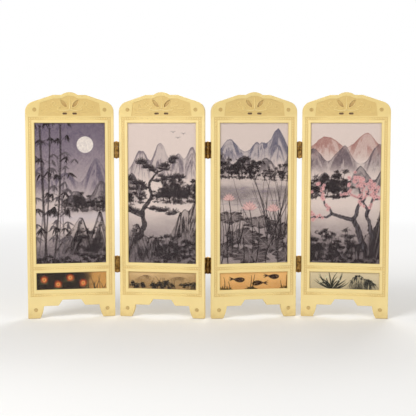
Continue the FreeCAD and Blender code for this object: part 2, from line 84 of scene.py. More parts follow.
stands = {panel: panel_stand(panel) for panel in PANELS}
places = {}
for panel, (middle, turn) in stands.items():
    places[panel] = Matrix.Translation(middle) @ Matrix.Rotation(turn, 4, "Z")
    print(f"panel {panel}: middle at x {middle.x / MM:.1f} mm, turned by {math.degrees(turn):.0f} degrees")


def upright_box(node):
    """The box of a piece of the first panel in that panel's own directions, in millimetres."""
    back = places[1].inverted()
    points = np.array([back @ vertex.co for vertex in frame["nodes"][node].data.vertices]) / MM
    return points.min(0).round(2), points.max(0).round(2)


frame_low, frame_high = upright_box("front_frame_1")
HALF_WIDTH = frame_high[0]
FACE_DEPTH = -frame_low[1]
print("a panel is", 2 * HALF_WIDTH, "mm wide and", 2 * FACE_DEPTH, "mm thick")

# %% [markdown]
# ## Colours and nodes
#
# Colours are written as hex codes, the way a paint chart gives them. Shaders work with linear light, so one
# function turns a code into linear values. A second one adds a node, sets what it is given, links what it
# is given as a socket, and gives back the output that is needed next, which is mostly the first. Nodes could
# be placed by hand in the editor just as well, but a script can make the same tree for many materials.

# %% Colour and node helpers
GOLDEN = "f2db97"


def hex_code(text):
    """A colour's three values from 0 to 1, as its hex code writes them."""
    return np.array([int(text[i : i + 2], 16) for i in (0, 2, 4)]) / 255


def linear(values):
    """The linear light of values from 0 to 1 that are written as a screen shows them."""
    values = np.asarray(values)
    return np.where(values <= 0.04045, values / 12.92, ((values + 0.055) / 1.055) ** 2.4)


def shade(text):
    """A hex code as the linear colour that a socket takes."""
    return (*linear(hex_code(text)), 1.0)


def add(tree, kind, inputs=None, out=0, **settings):
    """Adds a node and gives one of its outputs. An input is a value to set, or a socket to link."""
    node = tree.nodes.new(kind)
    for name, value in settings.items():
        setattr(node, name, value)
    for name, value in (inputs or {}).items():
        if isinstance(value, bpy.types.NodeSocket):
            tree.links.new(value, node.inputs[name])
        else:
            node.inputs[name].default_value = value
    return node.outputs[out] if node.outputs else None


def per_mm(size):
    """The scale at which a texture's features are about size millimetres wide."""
    return 1 / (size * MM)


def new_material(name):
    """An empty material, its node tree, and the place of a point in Object coordinates."""
    material = bpy.data.materials.new(name)
    material.use_nodes = True
    material.node_tree.nodes.clear()
    place = add(material.node_tree, "ShaderNodeTexCoord", out="Object")
    return material, material.node_tree, place


print("the frames' golden yellow is", np.round(shade(GOLDEN)[:3], 3), "in linear light")

# %% [markdown]
# ## Coats in a panel's own directions
#
# What lies on a moulding lies there by rule: deep or raised, high or low, near the middle or at the sides.
# It could be painted on an image of the panel. Read in the panel's own directions, each rule is only a ramp
# between two places, which needs no image and stays sharp from close by.
#
# A Mapping node moves and turns the coordinates back to the upright panel, so x runs across it, y through
# it and z up. Everything that lies on a surface is then a coat: a colour, its strength, and ramps that say
# between which places it goes from bare to full. A Mix node lays it on. It has one row of sockets for each
# kind of value, so its colour sockets go by number.

# %% Coats in a panel's own directions
FACTOR, FIRST, SECOND, MIXED = 0, 6, 7, 2


def panel_directions(tree, place, panel):
    """A point on the upright panel, and its distances from the middle, from the seam and from the table."""
    middle, turn = stands[panel]
    turned = {"Vector": place, "Location": middle, "Rotation": (0, 0, turn)}
    local = add(tree, "ShaderNodeMapping", turned, vector_type="TEXTURE")
    x, y, z = add(tree, "ShaderNodeSeparateXYZ", {0: local}).node.outputs
    across = add(tree, "ShaderNodeMath", {0: x}, operation="ABSOLUTE")
    depth = add(tree, "ShaderNodeMath", {0: y}, operation="ABSOLUTE")
    return local, across, depth, z


def coat(tree, base, code, strength, *ramps):
    """Lays a colour over a base. A ramp takes it from bare at one place to its full strength at another."""
    for value, bare, full in ramps:
        span = {"Value": value, "From Min": bare * MM, "From Max": full * MM}
        ramp = add(tree, "ShaderNodeMapRange", span, interpolation_type="SMOOTHSTEP")
        strength = add(tree, "ShaderNodeMath", {0: strength, 1: ramp}, operation="MULTIPLY")
    layers = {FACTOR: strength, FIRST: base, SECOND: shade(code)}
    return add(tree, "ShaderNodeMix", layers, out=MIXED, data_type="RGBA")


print("a coat is a colour, a strength and its ramps")

# %% [markdown]
# ## Moulded polystyrene
#
# The frames are polystyrene, moulded in a warm golden yellow. Such a frame is usually given a thin amber
# wash that is wiped off again, so that it stays in the sunk parts and lets the raised ornament stand out.
# Here the darker colour in the sunk parts is that wash and also painted shade, where shade falls in the
# hollows. A dirt mask baked from the shape would do that too, but the depth of each point below the face
# says the same thing exactly.
#
# The wash follows the moulding, so the sizes that it needs come first. What can be measured on the model is
# measured. The rest are the heights and reaches of the crest's field, its slots, petals and seats.

# %% Sizes of the moulding
# in millimetres, apart from the slope
LIP = 2.7
CHANNEL_SINK = 0.5
CREST_FLAT = 20
FLANK_SLOPE = 0.335
RIM_HEAD = 275
CREST_LOW = 250.3
SLOT_HEAD = 257
PETAL_FOOT = 261
HOLLOW_REACH = 13
HOLLOW_HEAD = 273.4
ROSETTE_SEATS = ((44.3, 10.6), (42.7, 258.5))
SEAT_RADIUS = 2.4
GRUBBY_HEIGHT = 16

# a sheet reaches a lip's width behind the frame, and what is left beside the window is the stile
sheet_low, sheet_high = upright_box("main_glazing_1")
SHEET_WIDTH = sheet_high[0] - sheet_low[0]
STILE = HALF_WIDTH - (SHEET_WIDTH / 2 - LIP)
FLOOR_DEPTH = FACE_DEPTH - CHANNEL_SINK
# the wash and its painted shade set in just below the face and are full just above the floor of a channel
SUNK = (FACE_DEPTH - 0.03, FLOOR_DEPTH + 0.02)
print(f"a stile is {STILE:.1f} mm wide, and a channel's floor lies {CHANNEL_SINK} mm below the face")

# %% [markdown]
# ## The wash and painted shade
#
# The crest is coloured a deeper yellow, from a little below its foot upward. Wash and painted shade lie in
# the crest's sunk field and between the beads of the stiles, and together they are deepest in the petals,
# the slots and the rosettes' seats. Noise alone could make stains, but they would lie anywhere. Here each
# stain lies between the places that the moulding gives it, and noise only makes the largest one patchy.

# %% The wash and painted shade


def wash_and_recess_shade(tree, colour, patches, across, depth, z):
    """A deeper yellow on the crest, and wash with painted shade in its sunk field and between the beads."""
    # the height at which a point would lie if the rim of the crest did not fall off past its flat middle
    past_flat = add(tree, "ShaderNodeMath", {0: across, 1: CREST_FLAT * MM}, operation="SUBTRACT")
    past_flat = add(tree, "ShaderNodeMath", {0: past_flat, 1: 0.0}, operation="MAXIMUM")
    level = add(tree, "ShaderNodeMath", {0: past_flat, 1: FLANK_SLOPE, 2: z}, operation="MULTIPLY_ADD")
    patchy = add(tree, "ShaderNodeMapRange", {"Value": patches, "To Min": 0.16, "To Max": 0.58})
    sunk = (depth, *SUNK)
    in_crest = (z, CREST_LOW - 0.4, CREST_LOW + 0.4)
    under_rim = (level, RIM_HEAD + 0.9, RIM_HEAD - 0.7)
    off_edges = (across, HALF_WIDTH - 0.8, HALF_WIDTH - 1.7)
    on_floor = (depth, FLOOR_DEPTH - 0.3, FLOOR_DEPTH - 0.1)
    below_crest = (z, CREST_LOW + 0.4, CREST_LOW - 0.4)
    least_wiped = (across, CREST_FLAT, HALF_WIDTH - STILE)
    # the crest coloured a deeper yellow, rising over its foot
    colour = coat(tree, colour, "cbac5c", 0.38, (z, CREST_LOW - 8, CREST_LOW + 6))
    # wash and painted shade in the crest's sunk field, made patchy
    colour = coat(tree, colour, "bd9650", patchy, sunk, in_crest, under_rim, off_edges)
    # wash and painted shade on the channel floors between the beads, more towards the sides
    return coat(tree, colour, "bd9650", 0.35, sunk, on_floor, below_crest, off_edges, least_wiped)


def hollow_shade_and_pooled_wash(tree, colour, across, depth, z):
    """Painted shade with pooled wash where the moulding is deepest, and in the rosettes' seats."""
    deepest = (depth, FLOOR_DEPTH - 0.05, FLOOR_DEPTH - 0.8)
    near_middle = (across, HOLLOW_REACH, HOLLOW_REACH - 0.5)
    slots = ((z, CREST_LOW + 0.6, CREST_LOW + 1.0), (z, SLOT_HEAD + 0.5, SLOT_HEAD - 0.5))
    petals = ((z, SLOT_HEAD - 0.5, SLOT_HEAD + 0.5), (z, HOLLOW_HEAD, PETAL_FOOT))
    # the slots: painted shade with wash, dark brown in their depth
    colour = coat(tree, colour, "6e4c26", 1.0, deepest, near_middle, *slots)
    # the hollow petals: painted shade with wash, paler than in the slots
    colour = coat(tree, colour, "b38f52", 1.0, deepest, near_middle, *petals)
    flat = add(tree, "ShaderNodeCombineXYZ", {"X": across, "Z": z})
    for seat_x, seat_z in ROSETTE_SEATS:
        seat = {0: flat, 1: (seat_x * MM, 0, seat_z * MM)}
        away = add(tree, "ShaderNodeVectorMath", seat, out="Value", operation="DISTANCE")
        in_seat = (away, SEAT_RADIUS + 0.1, SEAT_RADIUS - 0.2)
        # each seat: painted shade with wash
        colour = coat(tree, colour, "a07a40", 0.45, (depth, *SUNK), in_seat)
    return colour


# the seats' darker colour is painted shade with the wash
print("the wash has run together in", 2 * len(ROSETTE_SEATS), "seats on each face")

# %% [markdown]
# ## The frames' finish
#
# Under the wash the plastic is satin and slightly streaky from the mould, and paler on the raised parts:
# rubbed there by hands, and with a painted highlight. A fine dark line marks the seam of the two halves, and
# the feet are a little grubby. One material could serve all panels if each had its own coordinates stored
# in its mesh. A material for each panel, with the panel's place in its Mapping node, leaves the meshes as
# they are.

# %% The frames' finish


def moulded_polystyrene(panel):
    """Golden polystyrene: satin, streaky, wash and painted shade in its hollows, painted highlight where
    raised.
    """
    material, tree, place = new_material(f"moulded_polystyrene_{panel}")
    local, across, depth, z = panel_directions(tree, place, panel)
    drawn_out = add(tree, "ShaderNodeMapping", {"Vector": local, "Scale": (1.0, 1.0, 0.2)})
    uneven = {}
    # sizes in millimetres: a moulded skin is really finer than the render shows, so it is drawn coarser
    for name, size, vector in (
        ("streaks", 22, drawn_out),
        ("patches", 6, local),
        ("grime", 5, local),
        ("gloss", 3, local),
        ("skin", 1.3, local),
    ):
        pattern = {"Vector": vector, "Scale": per_mm(size), "Detail": 3.0}
        uneven[name] = add(tree, "ShaderNodeTexNoise", pattern)

    colour = coat(tree, shade(GOLDEN), "e9cf8a", uneven["streaks"])
    # the raised faces paler: rubbed by hands, and a painted highlight
    colour = coat(tree, colour, "f7e6b2", 0.5, (depth, FACE_DEPTH - 0.05, FACE_DEPTH + 0.1))
    colour = wash_and_recess_shade(tree, colour, uneven["patches"], across, depth, z)
    colour = coat(tree, colour, "d0b272", uneven["grime"], (z, GRUBBY_HEIGHT, 0))
    colour = coat(tree, colour, "7d5a2a", 0.7, (depth, 0.14, 0.04))
    colour = hollow_shade_and_pooled_wash(tree, colour, across, depth, z)

    roughness = add(tree, "ShaderNodeMapRange", {"Value": uneven["gloss"], "To Min": 0.28, "To Max": 0.5})
    skin = add(tree, "ShaderNodeBump", {"Height": uneven["skin"], "Strength": 0.25, "Distance": 0.05 * MM})
    surface = {"Base Color": colour, "Roughness": roughness, "IOR": 1.59, "Normal": skin}
    plastic = add(tree, "ShaderNodeBsdfPrincipled", surface)
    add(tree, "ShaderNodeOutputMaterial", {"Surface": plastic})
    return material


polystyrene = {panel: moulded_polystyrene(panel) for panel in PANELS}
print(len(polystyrene), "frame materials, one for each panel's own directions")

# %% [markdown]
# ## Brass
#
# The hinges are rolled from thin brass strip. Handling and air have turned them brown, with bright metal
# left where they rub. The nails and pins have domed heads that keep more of their shine. Both are one kind
# of metal with another share of tarnish, so one function makes both. One even colour would look like gilt
# paint, so the tarnish lies in blotches. A metal needs no IOR: its colour is its reflection.

# %% Brass


def tarnished_brass(name, bright, dull, share, roughness):
    """Brass with brown tarnish in blotches of a few millimetres and fine rub marks."""
    material, tree, place = new_material(name)
    blotch = add(tree, "ShaderNodeTexNoise", {"Vector": place, "Scale": per_mm(3.5), "Detail": 6.0})
    clean = {"Value": blotch, "From Min": 0.75 - share, "From Max": 1.0 - share * 0.8}
    clean = add(tree, "ShaderNodeMapRange", clean)
    colour = coat(tree, shade(dull), bright, clean)
    smooth, rough = roughness
    polish = add(tree, "ShaderNodeMapRange", {"Value": clean, "To Min": rough, "To Max": smooth})
    # rub marks are finer than the render shows, so they are drawn half a millimetre wide
    rubbed = add(tree, "ShaderNodeMapping", {"Vector": place, "Scale": (1.0, 1.0, 0.15)})
    marks = add(tree, "ShaderNodeTexNoise", {"Vector": rubbed, "Scale": per_mm(0.5)})
    skin = add(tree, "ShaderNodeBump", {"Height": marks, "Strength": 0.2, "Distance": 0.03 * MM})
    surface = {"Base Color": colour, "Metallic": 1.0, "Roughness": polish, "Normal": skin}
    brass = add(tree, "ShaderNodeBsdfPrincipled", surface)
    add(tree, "ShaderNodeOutputMaterial", {"Surface": brass})
    return material


leaf_brass = tarnished_brass("tarnished_brass_strip", "b0884a", "563d20", 0.37, (0.3, 0.55))
head_brass = tarnished_brass("rubbed_brass_heads", "c99f55", "7a5728", 0.55, (0.22, 0.45))
print("brass:", leaf_brass.name, "and", head_brass.name)

# %% [markdown]
# ## Clear acetate
#
# A thin clear sheet lies over each picture. True glass would bend every ray, so lamps could reach the
# picture only by lucky paths, and it would come out dark and noisy. The sheet is too thin to bend anything
# that the eye could see. A Transparent shader that gives way to a glossy one has the same look and lets
# lamps in.
#
# The gloss grows with the slant of the view, slowly at first and fast at the end. A Fresnel node would do
# that for a solid, but from inside the sheet it turns into a mirror at a slant, and the picture would go
# dark. Layer Weight treats both faces alike, and its fifth power is close to the true law. A faint haze
# stands for dust.

# %% Clear acetate


def clear_acetate():
    """Cast acetate sheet: clear, faintly warm, with a soft sheen that wavers a little."""
    material, tree, place = new_material("clear_acetate_sheet")
    wave = add(tree, "ShaderNodeTexNoise", {"Vector": place, "Scale": per_mm(35)})
    skin = add(tree, "ShaderNodeBump", {"Height": wave, "Strength": 0.1, "Distance": 0.5 * MM})
    # a grain of dust is too fine to show, so dust is drawn in clouds a millimetre and a half wide
    dust = add(tree, "ShaderNodeTexNoise", {"Vector": place, "Scale": per_mm(1.5), "Detail": 8.0})
    haze = {"Value": dust, "From Min": 0.5, "From Max": 0.8, "To Min": 0.0, "To Max": 0.012}
    haze = add(tree, "ShaderNodeMapRange", haze)
    slant = add(tree, "ShaderNodeLayerWeight", {"Blend": 0.5, "Normal": skin}, out="Facing")
    slant = add(tree, "ShaderNodeMath", {0: slant, 1: 5.0}, operation="POWER")
    mirror = add(tree, "ShaderNodeMapRange", {"Value": slant, "To Min": 0.007, "To Max": 0.7})
    share = add(tree, "ShaderNodeMath", {0: mirror, 1: haze}, operation="ADD")
    gloss = add(tree, "ShaderNodeMapRange", {"Value": dust, "To Min": 0.03, "To Max": 0.14})
    clear = add(tree, "ShaderNodeBsdfTransparent", {"Color": shade("fefefd")})
    sheen = add(tree, "ShaderNodeBsdfAnisotropic", {"Roughness": gloss, "Normal": skin})
    mixed = add(tree, "ShaderNodeMixShader", {0: share, 1: clear, 2: sheen})
    add(tree, "ShaderNodeOutputMaterial", {"Surface": mixed})
    return material


acetate = clear_acetate()
print("sheets:", acetate.name)

# %% [markdown]
# ## Strawboard
#
# Behind each picture lies a backing board, which shows in the windows at the back of the screen. It is
# strawboard: short buff fibres pressed flat, with darker flecks. A photograph of board would do, but noise
# that is drawn out in one direction gives fibres at any size and never repeats.

# %% Strawboard


def strawboard():
    """Pressed straw fibre: dull buff with streaks a few millimetres long and scattered flecks."""
    material, tree, place = new_material("buff_strawboard")
    # single fibres would not show, so the streaks are drawn as wide as small bundles of them
    laid = add(tree, "ShaderNodeMapping", {"Vector": place, "Scale": (1.0, 1.0, 0.25)})
    fibre = add(tree, "ShaderNodeTexNoise", {"Vector": laid, "Scale": per_mm(1.2), "Detail": 5.0})
    cloud = add(tree, "ShaderNodeTexNoise", {"Vector": place, "Scale": per_mm(30), "Detail": 3.0})
    pale = {"Value": fibre, "From Min": 0.4, "From Max": 0.75, "To Min": 0.0, "To Max": 0.7}
    pale = add(tree, "ShaderNodeMapRange", pale)
    speck = add(tree, "ShaderNodeTexVoronoi", {"Vector": laid, "Scale": per_mm(4.5)})
    fleck = {"Value": speck, "From Min": 0.06, "From Max": 0.14, "To Min": 0.65, "To Max": 0.0}
    fleck = add(tree, "ShaderNodeMapRange", fleck)
    colour = coat(tree, shade("b59a6c"), "a2875a", cloud)
    colour = coat(tree, colour, "cbb489", pale)
    colour = coat(tree, colour, "6e5330", fleck)
    skin = add(tree, "ShaderNodeBump", {"Height": fibre, "Strength": 0.4, "Distance": 0.1 * MM})
    board = {"Base Color": colour, "Roughness": 0.85, "IOR": 1.45, "Normal": skin}
    board = add(tree, "ShaderNodeBsdfPrincipled", board)
    add(tree, "ShaderNodeOutputMaterial", {"Surface": board})
    return material


board_paper = strawboard()
print("boards:", board_paper.name)

# %% [markdown]
# ## Printed card
#
# The pictures are printed on matt card. A material could draw a picture with its own nodes, but strokes of
# a brush are easier to work out in a script. So the colours come from an attribute of the card's own mesh,
# which a later step paints, and the material adds the card's fine tooth and the ink's grain.

# %% Printed card


def printed_card():
    """Uncoated card that carries a picture: hardly any sheen, fine tooth, ink settled in small grains."""
    material, tree, place = new_material("printed_card")
    ink = add(tree, "ShaderNodeAttribute", attribute_name="painting")
    # the tooth of real card is finer than the render shows, so it is drawn coarser
    tooth = add(tree, "ShaderNodeTexNoise", {"Vector": place, "Scale": per_mm(0.7), "Detail": 4.0})
    grain = {"Value": tooth, "From Min": 0.3, "From Max": 0.7, "To Min": 0.86, "To Max": 1.08}
    grain = add(tree, "ShaderNodeMapRange", grain)
    grained = add(tree, "ShaderNodeVectorMath", {0: ink, "Scale": grain}, operation="SCALE")
    skin = add(tree, "ShaderNodeBump", {"Height": tooth, "Strength": 0.15, "Distance": 0.03 * MM})
    card = {"Base Color": grained, "Roughness": 0.7, "Specular IOR Level": 0.15, "Normal": skin}
    card = add(tree, "ShaderNodeBsdfPrincipled", card)
    add(tree, "ShaderNodeOutputMaterial", {"Surface": card})
    return material


picture_print = printed_card()
print("pictures:", picture_print.name)

# %% [markdown]
# ## Finishes on the construction model
#
# Each piece of the construction model keeps its mesh and only changes its material slot. A list of all the
# pieces could say which material each one gets. The words in a piece's name already say what it is, and its
# number which panel's directions it takes, so a short function reads them from there.

# %% Finishes on the construction model


def finish_of(node):
    """The material of a piece of the construction model."""
    words = node.split("_")
    if "frame" in words:
        return polystyrene[int(words[-1])]
    if "leaf" in words:
        return leaf_brass
    if "pin" in words or "nails" in words:
        return head_brass
    if "glazing" in words:
        return acetate
    return board_paper if "backing" in words else picture_print


for node, piece in frame["nodes"].items():
    piece.data.materials.clear()
    piece.data.materials.append(finish_of(node))
print(len(frame["nodes"]), "pieces finished")

# %% [markdown]
# ## Growing ornament with Geometry Nodes
#
# The frames carry rows of beads, small rosettes and scrolls in the crest. Beads could be placed one by one
# in a loop, but a Geometry Nodes tree keeps the rule in one place: a line goes in, and its spacing and
# sizes are named inputs. Each tree gets its sizes before it first runs. What it grows is then kept as a
# plain mesh.

# %% Trees that grow ornament


def new_tree(name, **sizes):
    """A Geometry Nodes tree with geometry in and out, a material and the named sizes as its inputs."""
    tree = bpy.data.node_groups.new(name, "GeometryNodeTree")
    tree.interface.new_socket("Geometry", in_out="OUTPUT", socket_type="NodeSocketGeometry")
    tree.interface.new_socket("Geometry", in_out="INPUT", socket_type="NodeSocketGeometry")
    tree.interface.new_socket("Material", in_out="INPUT", socket_type="NodeSocketMaterial")
    for label, size in sizes.items():
        socket = tree.interface.new_socket(label, in_out="INPUT", socket_type="NodeSocketFloat")
        socket.default_value = size
    return tree, add(tree, "NodeGroupInput").node.outputs


def end_tree(tree, inputs, geometry):
    """Makes instances real, smooths them, gives them the material and sends them out."""
    real = add(tree, "GeometryNodeRealizeInstances", {"Geometry": geometry})
    smooth = add(tree, "GeometryNodeSetShadeSmooth", {0: real})
    finished = add(tree, "GeometryNodeSetMaterial", {"Geometry": smooth, "Material": inputs["Material"]})
    add(tree, "NodeGroupOutput", {"Geometry": finished})


def put_in_scene(name, data):
    """A new object in the scene, at the origin."""
    thing = bpy.data.objects.new(name, data)
    bpy.context.scene.collection.objects.link(thing)
    return thing


def grow(source, tree, material):
    """What a tree grows on a source mesh with its own sizes, as a plain mesh."""
    base = put_in_scene(source.name, source)
    modifier = base.modifiers.new("grow", "NODES")
    modifier.node_group = tree
    modifier[tree.interface.items_tree["Material"].identifier] = material
    grown = base.evaluated_get(bpy.context.evaluated_depsgraph_get())
    mesh = bpy.data.meshes.new_from_object(grown)
    bpy.data.objects.remove(base)
    return mesh


print("a tree takes a mesh of lines or points, and gives back a plain mesh")

# %% [markdown]
# ## Ornament on both faces
#
# Ornament stands on the floor of its channel or field, half sunk in it as a moulding is, and its tops come
# out hardly above the face, so that the panels still fold shut. Both faces of a panel are alike. The rear
# could be grown anew, but half a turn about the upright carries the front's ornament there.

# %% Ornament on both faces


def line_mesh(name, lines):
    """A mesh of open lines, each a list of points in metres."""
    points = [point for line in lines for point in line]
    starts = np.cumsum([0] + [len(line) for line in lines])
    edges = [(i, i + 1) for first, end in zip(starts, starts[1:]) for i in range(first, end - 1)]
    mesh = bpy.data.meshes.new(name)
    mesh.from_pydata(points, edges, [])
    return mesh


def add_ornament(name, panel, mesh):
    """Puts ornament that was grown for the front face on both faces of a panel."""
    both = bmesh.new()
    both.from_mesh(mesh)
    mesh.transform(Matrix.Rotation(math.pi, 4, "Z"))
    both.from_mesh(mesh)
    both.to_mesh(mesh)
    both.free()
    mesh.transform(places[panel])
    piece = put_in_scene(f"{name}_{panel}", mesh)
    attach(piece, f"panel_{panel}")
    return piece


print("ornament is grown for the front face at y =", -FLOOR_DEPTH, "mm")

# %% [markdown]
# ## Rows of beads
#
# A bead row runs along the middle of each stile and rail. The rows are found from the sheets, which reach a
# lip's width behind the frame: half way across a stile from the window's edge, and half way between the two
# windows. Each bead is a low ball of a few dozen faces. It could have many more, but on two millimetres
# they would not show.

# %% Rows of beads
BOTTOM_RAIL = 13
BEAD_STEP = 3.03
BEAD_WIDE = 2.2
BEAD_TALL = 0.55

main_low, main_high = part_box("main_picture_1")
strip_low, strip_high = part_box("strip_picture_1")
main_sill, main_head = main_low.z / MM + LIP, main_high.z / MM - LIP
strip_sill, strip_head = strip_low.z / MM + LIP, strip_high.z / MM - LIP
row_x = HALF_WIDTH - STILE / 2
row_heights = (strip_sill - BOTTOM_RAIL / 2, (strip_head + main_sill) / 2, main_head + STILE / 2)


def bead_rows():
    """The lines of the beads on the front face."""
    floor = -FLOOR_DEPTH * MM
    stiles = [[(side * row_x * MM, floor, row_heights[i] * MM) for i in (0, -1)] for side in (-1, 1)]
    reach = (row_x - BEAD_STEP) * MM
    rails = [[(side * reach, floor, height * MM) for side in (-1, 1)] for height in row_heights]
    return line_mesh("bead_rows", stiles + rails)


bead_tree, given = new_tree("bead_rows", Step=BEAD_STEP * MM, Wide=BEAD_WIDE * MM, Tall=BEAD_TALL * MM)
line = add(bead_tree, "GeometryNodeMeshToCurve", {"Mesh": given["Geometry"]})
stops = add(bead_tree, "GeometryNodeCurveToPoints", {"Curve": line, "Length": given["Step"]}, mode="LENGTH")
ball = add(bead_tree, "GeometryNodeMeshUVSphere", {"Segments": 8, "Rings": 4, "Radius": 1.0})
half = add(bead_tree, "ShaderNodeMath", {0: given["Wide"], 1: 0.5}, operation="MULTIPLY")
size = add(bead_tree, "ShaderNodeCombineXYZ", {"X": half, "Y": given["Tall"], "Z": half})
beads = add(bead_tree, "GeometryNodeInstanceOnPoints", {"Points": stops, "Instance": ball, "Scale": size})
end_tree(bead_tree, given, beads)

for panel in PANELS:
    piece = add_ornament("beads", panel, grow(bead_rows(), bead_tree, polystyrene[panel]))
print("a panel's beads have", len(piece.data.polygons), "faces")

# %% [markdown]
# ## Rosettes
#
# Round seats in the feet and shoulders hold small rosettes. A rosette is a ring of balls about a larger
# one. It could be modelled once and copied by hand, but one tree makes the flower and sets it on every
# seat, and its sizes stay open to change.

# %% Rosettes
PETALS = 6

rosette_tree, given = new_tree("rosettes", Ring=1.3 * MM, Petal=0.55 * MM, Heart=0.6 * MM, Tall=0.45 * MM)
ring = add(rosette_tree, "GeometryNodeMeshCircle", {"Vertices": PETALS, "Radius": given["Ring"]})
upright = add(rosette_tree, "GeometryNodeTransform", {"Geometry": ring, "Rotation": (math.pi / 2, 0, 0)})
ball = add(rosette_tree, "GeometryNodeMeshUVSphere", {"Segments": 10, "Rings": 5, "Radius": 1.0})
low_ball = {}
for part in ("Petal", "Heart"):
    radii = {"X": given[part], "Y": given["Tall"], "Z": given[part]}
    low_ball[part] = add(rosette_tree, "ShaderNodeCombineXYZ", radii)
petals = {"Points": upright, "Instance": ball, "Scale": low_ball["Petal"]}
petals = add(rosette_tree, "GeometryNodeInstanceOnPoints", petals)
heart = add(rosette_tree, "GeometryNodeTransform", {"Geometry": ball, "Scale": low_ball["Heart"]})
flower = add(rosette_tree, "GeometryNodeJoinGeometry", {0: petals})
rosette_tree.links.new(heart, flower.node.inputs[0])
seated = {"Points": given["Geometry"], "Instance": flower}
seated = add(rosette_tree, "GeometryNodeInstanceOnPoints", seated)
end_tree(rosette_tree, given, seated)

for panel in PANELS:
    seats = [[(side * x * MM, -FLOOR_DEPTH * MM, z * MM)] for side in (-1, 1) for x, z in ROSETTE_SEATS]
    flowers = grow(line_mesh("rosette_seats", seats), rosette_tree, polystyrene[panel])
    piece = add_ornament("rosettes", panel, flowers)
print("a panel's rosettes have", len(piece.data.polygons), "faces")

# %% [markdown]
# ## Lines of the scrolls
#
# The sunk field of the crest holds a bud between two hollow petals, a bar below it and cloud scrolls on
# both sides. They could be drawn by hand as curves. A scroll is a line that winds into a spiral, so it is
# written as one: a stem that bows, and a turn whose radius shrinks. Only the right hand lines are written,
# and the left hand ones are their mirror image.

# %% Lines of the scrolls
PETAL_RIM = 2.9


def spiral(centre, radius, end_radius, start, sweep, count=22):
    """Points that wind about a centre from one radius to another, with angles in degrees."""
    share = np.linspace(0, 1, count)
    angle = np.radians(start + sweep * share)
    reach = radius + (end_radius - radius) * share
    return np.stack([centre[0] + reach * np.cos(angle), centre[1] + reach * np.sin(angle)], 1)


def bow(start, end, sag, count=9):
    """Points from start to end that stand off the straight line by sag in the middle, to its left."""
    start, end = np.array(start, float), np.array(end, float)
    share = np.linspace(0, 1, count)[:, None]
    run = end - start
    side = np.array([-run[1], run[0]]) / np.hypot(*run)
    return start + run * share + side * sag * 4 * share * (1 - share)


def curl(start, sag, centre, radius, first, sweep):
    """A stem that bows from start into a shrinking spiral about a centre."""
    turn = spiral(centre, radius, 0.22 * radius, first, sweep)
    return np.vstack([bow(start, turn[0], sag), turn[1:]])


def scroll_lines():
    """The right hand lines, each with a half width at both ends, in millimetres."""
    foot, tip = (2.8, 260.7), (11.4, 271.2)
    vine = np.vstack([bow((13.0, 254.4), (22.4, 254.6), 1.2), bow((22.4, 254.6), (33.0, 253.6), -1.0)[1:]])
    return [
        (bow(foot, tip, PETAL_RIM), 0.55, 0.35),
        (bow(foot, tip, -PETAL_RIM), 0.6, 0.4),
        (curl((0.0, 258.3), -0.7, (13.4, 259.8), 1.7, 250, 380), 0.95, 0.4),
        (curl((11.4, 262.2), -0.9, (19.0, 266.2), 3.6, 225, 430), 0.7, 0.45),
        (curl((19.6, 260.6), -0.8, (27.6, 262.4), 2.8, 235, 410), 0.6, 0.4),
        (curl((26.4, 257.4), -0.6, (33.0, 257.8), 1.9, 240, 390), 0.5, 0.35),
        (vine, 0.5, 0.3),
    ]


print(len(scroll_lines()), "lines on each side of the crest")

# %% [markdown]
# ## Scrolls in the crest
#
# The tree sweeps a round section along the lines and flattens it to a low half round moulding. A curve
# object with a bevel, and a radius at each point, would do that too. The tree does it for all the lines at
# once, from a half width that each point carries, so a scroll can thin out to its tip.

# %% Scrolls in the crest
SCROLL_FLAT = 0.75


def scroll_mesh():
    """All the scroll lines of a crest, with their half widths as an attribute."""
    lines, widths = [], []
    bud = (bow((0, 259.6), (0, 273.6), 0), 1.0, 0.5)
    mirrored = [(line * (-1, 1), first, last) for line, first, last in scroll_lines()]
    for line, first, last in [bud] + scroll_lines() + mirrored:
        lines.append([(x * MM, 0.0, z * MM) for x, z in line])
        widths.extend(np.linspace(first, last, len(line)) * MM)
    mesh = line_mesh("crest_scrolls", lines)
    half_width = mesh.attributes.new("half_width", "FLOAT", "POINT")
    half_width.data.foreach_set("value", np.array(widths, np.float32))
    return mesh


scroll_tree, given = new_tree("crest_scrolls", Floor=-FLOOR_DEPTH * MM, Flat=SCROLL_FLAT)
line = add(scroll_tree, "GeometryNodeMeshToCurve", {"Mesh": given["Geometry"]})
width = add(scroll_tree, "GeometryNodeInputNamedAttribute", {"Name": "half_width"}, data_type="FLOAT")
ring = add(scroll_tree, "GeometryNodeCurvePrimitiveCircle", {"Resolution": 8, "Radius": 1.0})
swept = {"Curve": line, "Profile Curve": ring, "Scale": width, "Fill Caps": True}
swept = add(scroll_tree, "GeometryNodeCurveToMesh", swept)
flat = add(scroll_tree, "ShaderNodeCombineXYZ", {"X": 1.0, "Y": given["Flat"], "Z": 1.0})
down = add(scroll_tree, "ShaderNodeCombineXYZ", {"Y": given["Floor"]})
laid = add(scroll_tree, "GeometryNodeTransform", {"Geometry": swept, "Scale": flat, "Translation": down})
end_tree(scroll_tree, given, laid)

for panel in PANELS:
    piece = add_ornament("crest_scrolls", panel, grow(scroll_mesh(), scroll_tree, polystyrene[panel]))
print("a panel's scrolls have", len(piece.data.polygons), "faces")

# %% [markdown]
# ## Ink on card
#
# The pictures are landscapes in ink, with a little colour. An image file would be the usual way to put them
# on the cards. Here they are painted by the script instead, so that every stroke is a few numbers that can
# be changed.
#
# Wet ink is never even, so washes need cloudy noise. Blender's own noise takes one point at a time in a
# script, which is slow for a whole card. Smooth steps between the numbers of a fixed random table work on
# all points at once.

# %% Cloudy noise
NOISE_TABLE = 64


def fade(low, high, value):
    """0 up to low, 1 from high on, and a smooth rise between. With low above high it falls instead."""
    share = np.clip((value - low) / (high - low), 0, 1)
    return share * share * (3 - 2 * share)


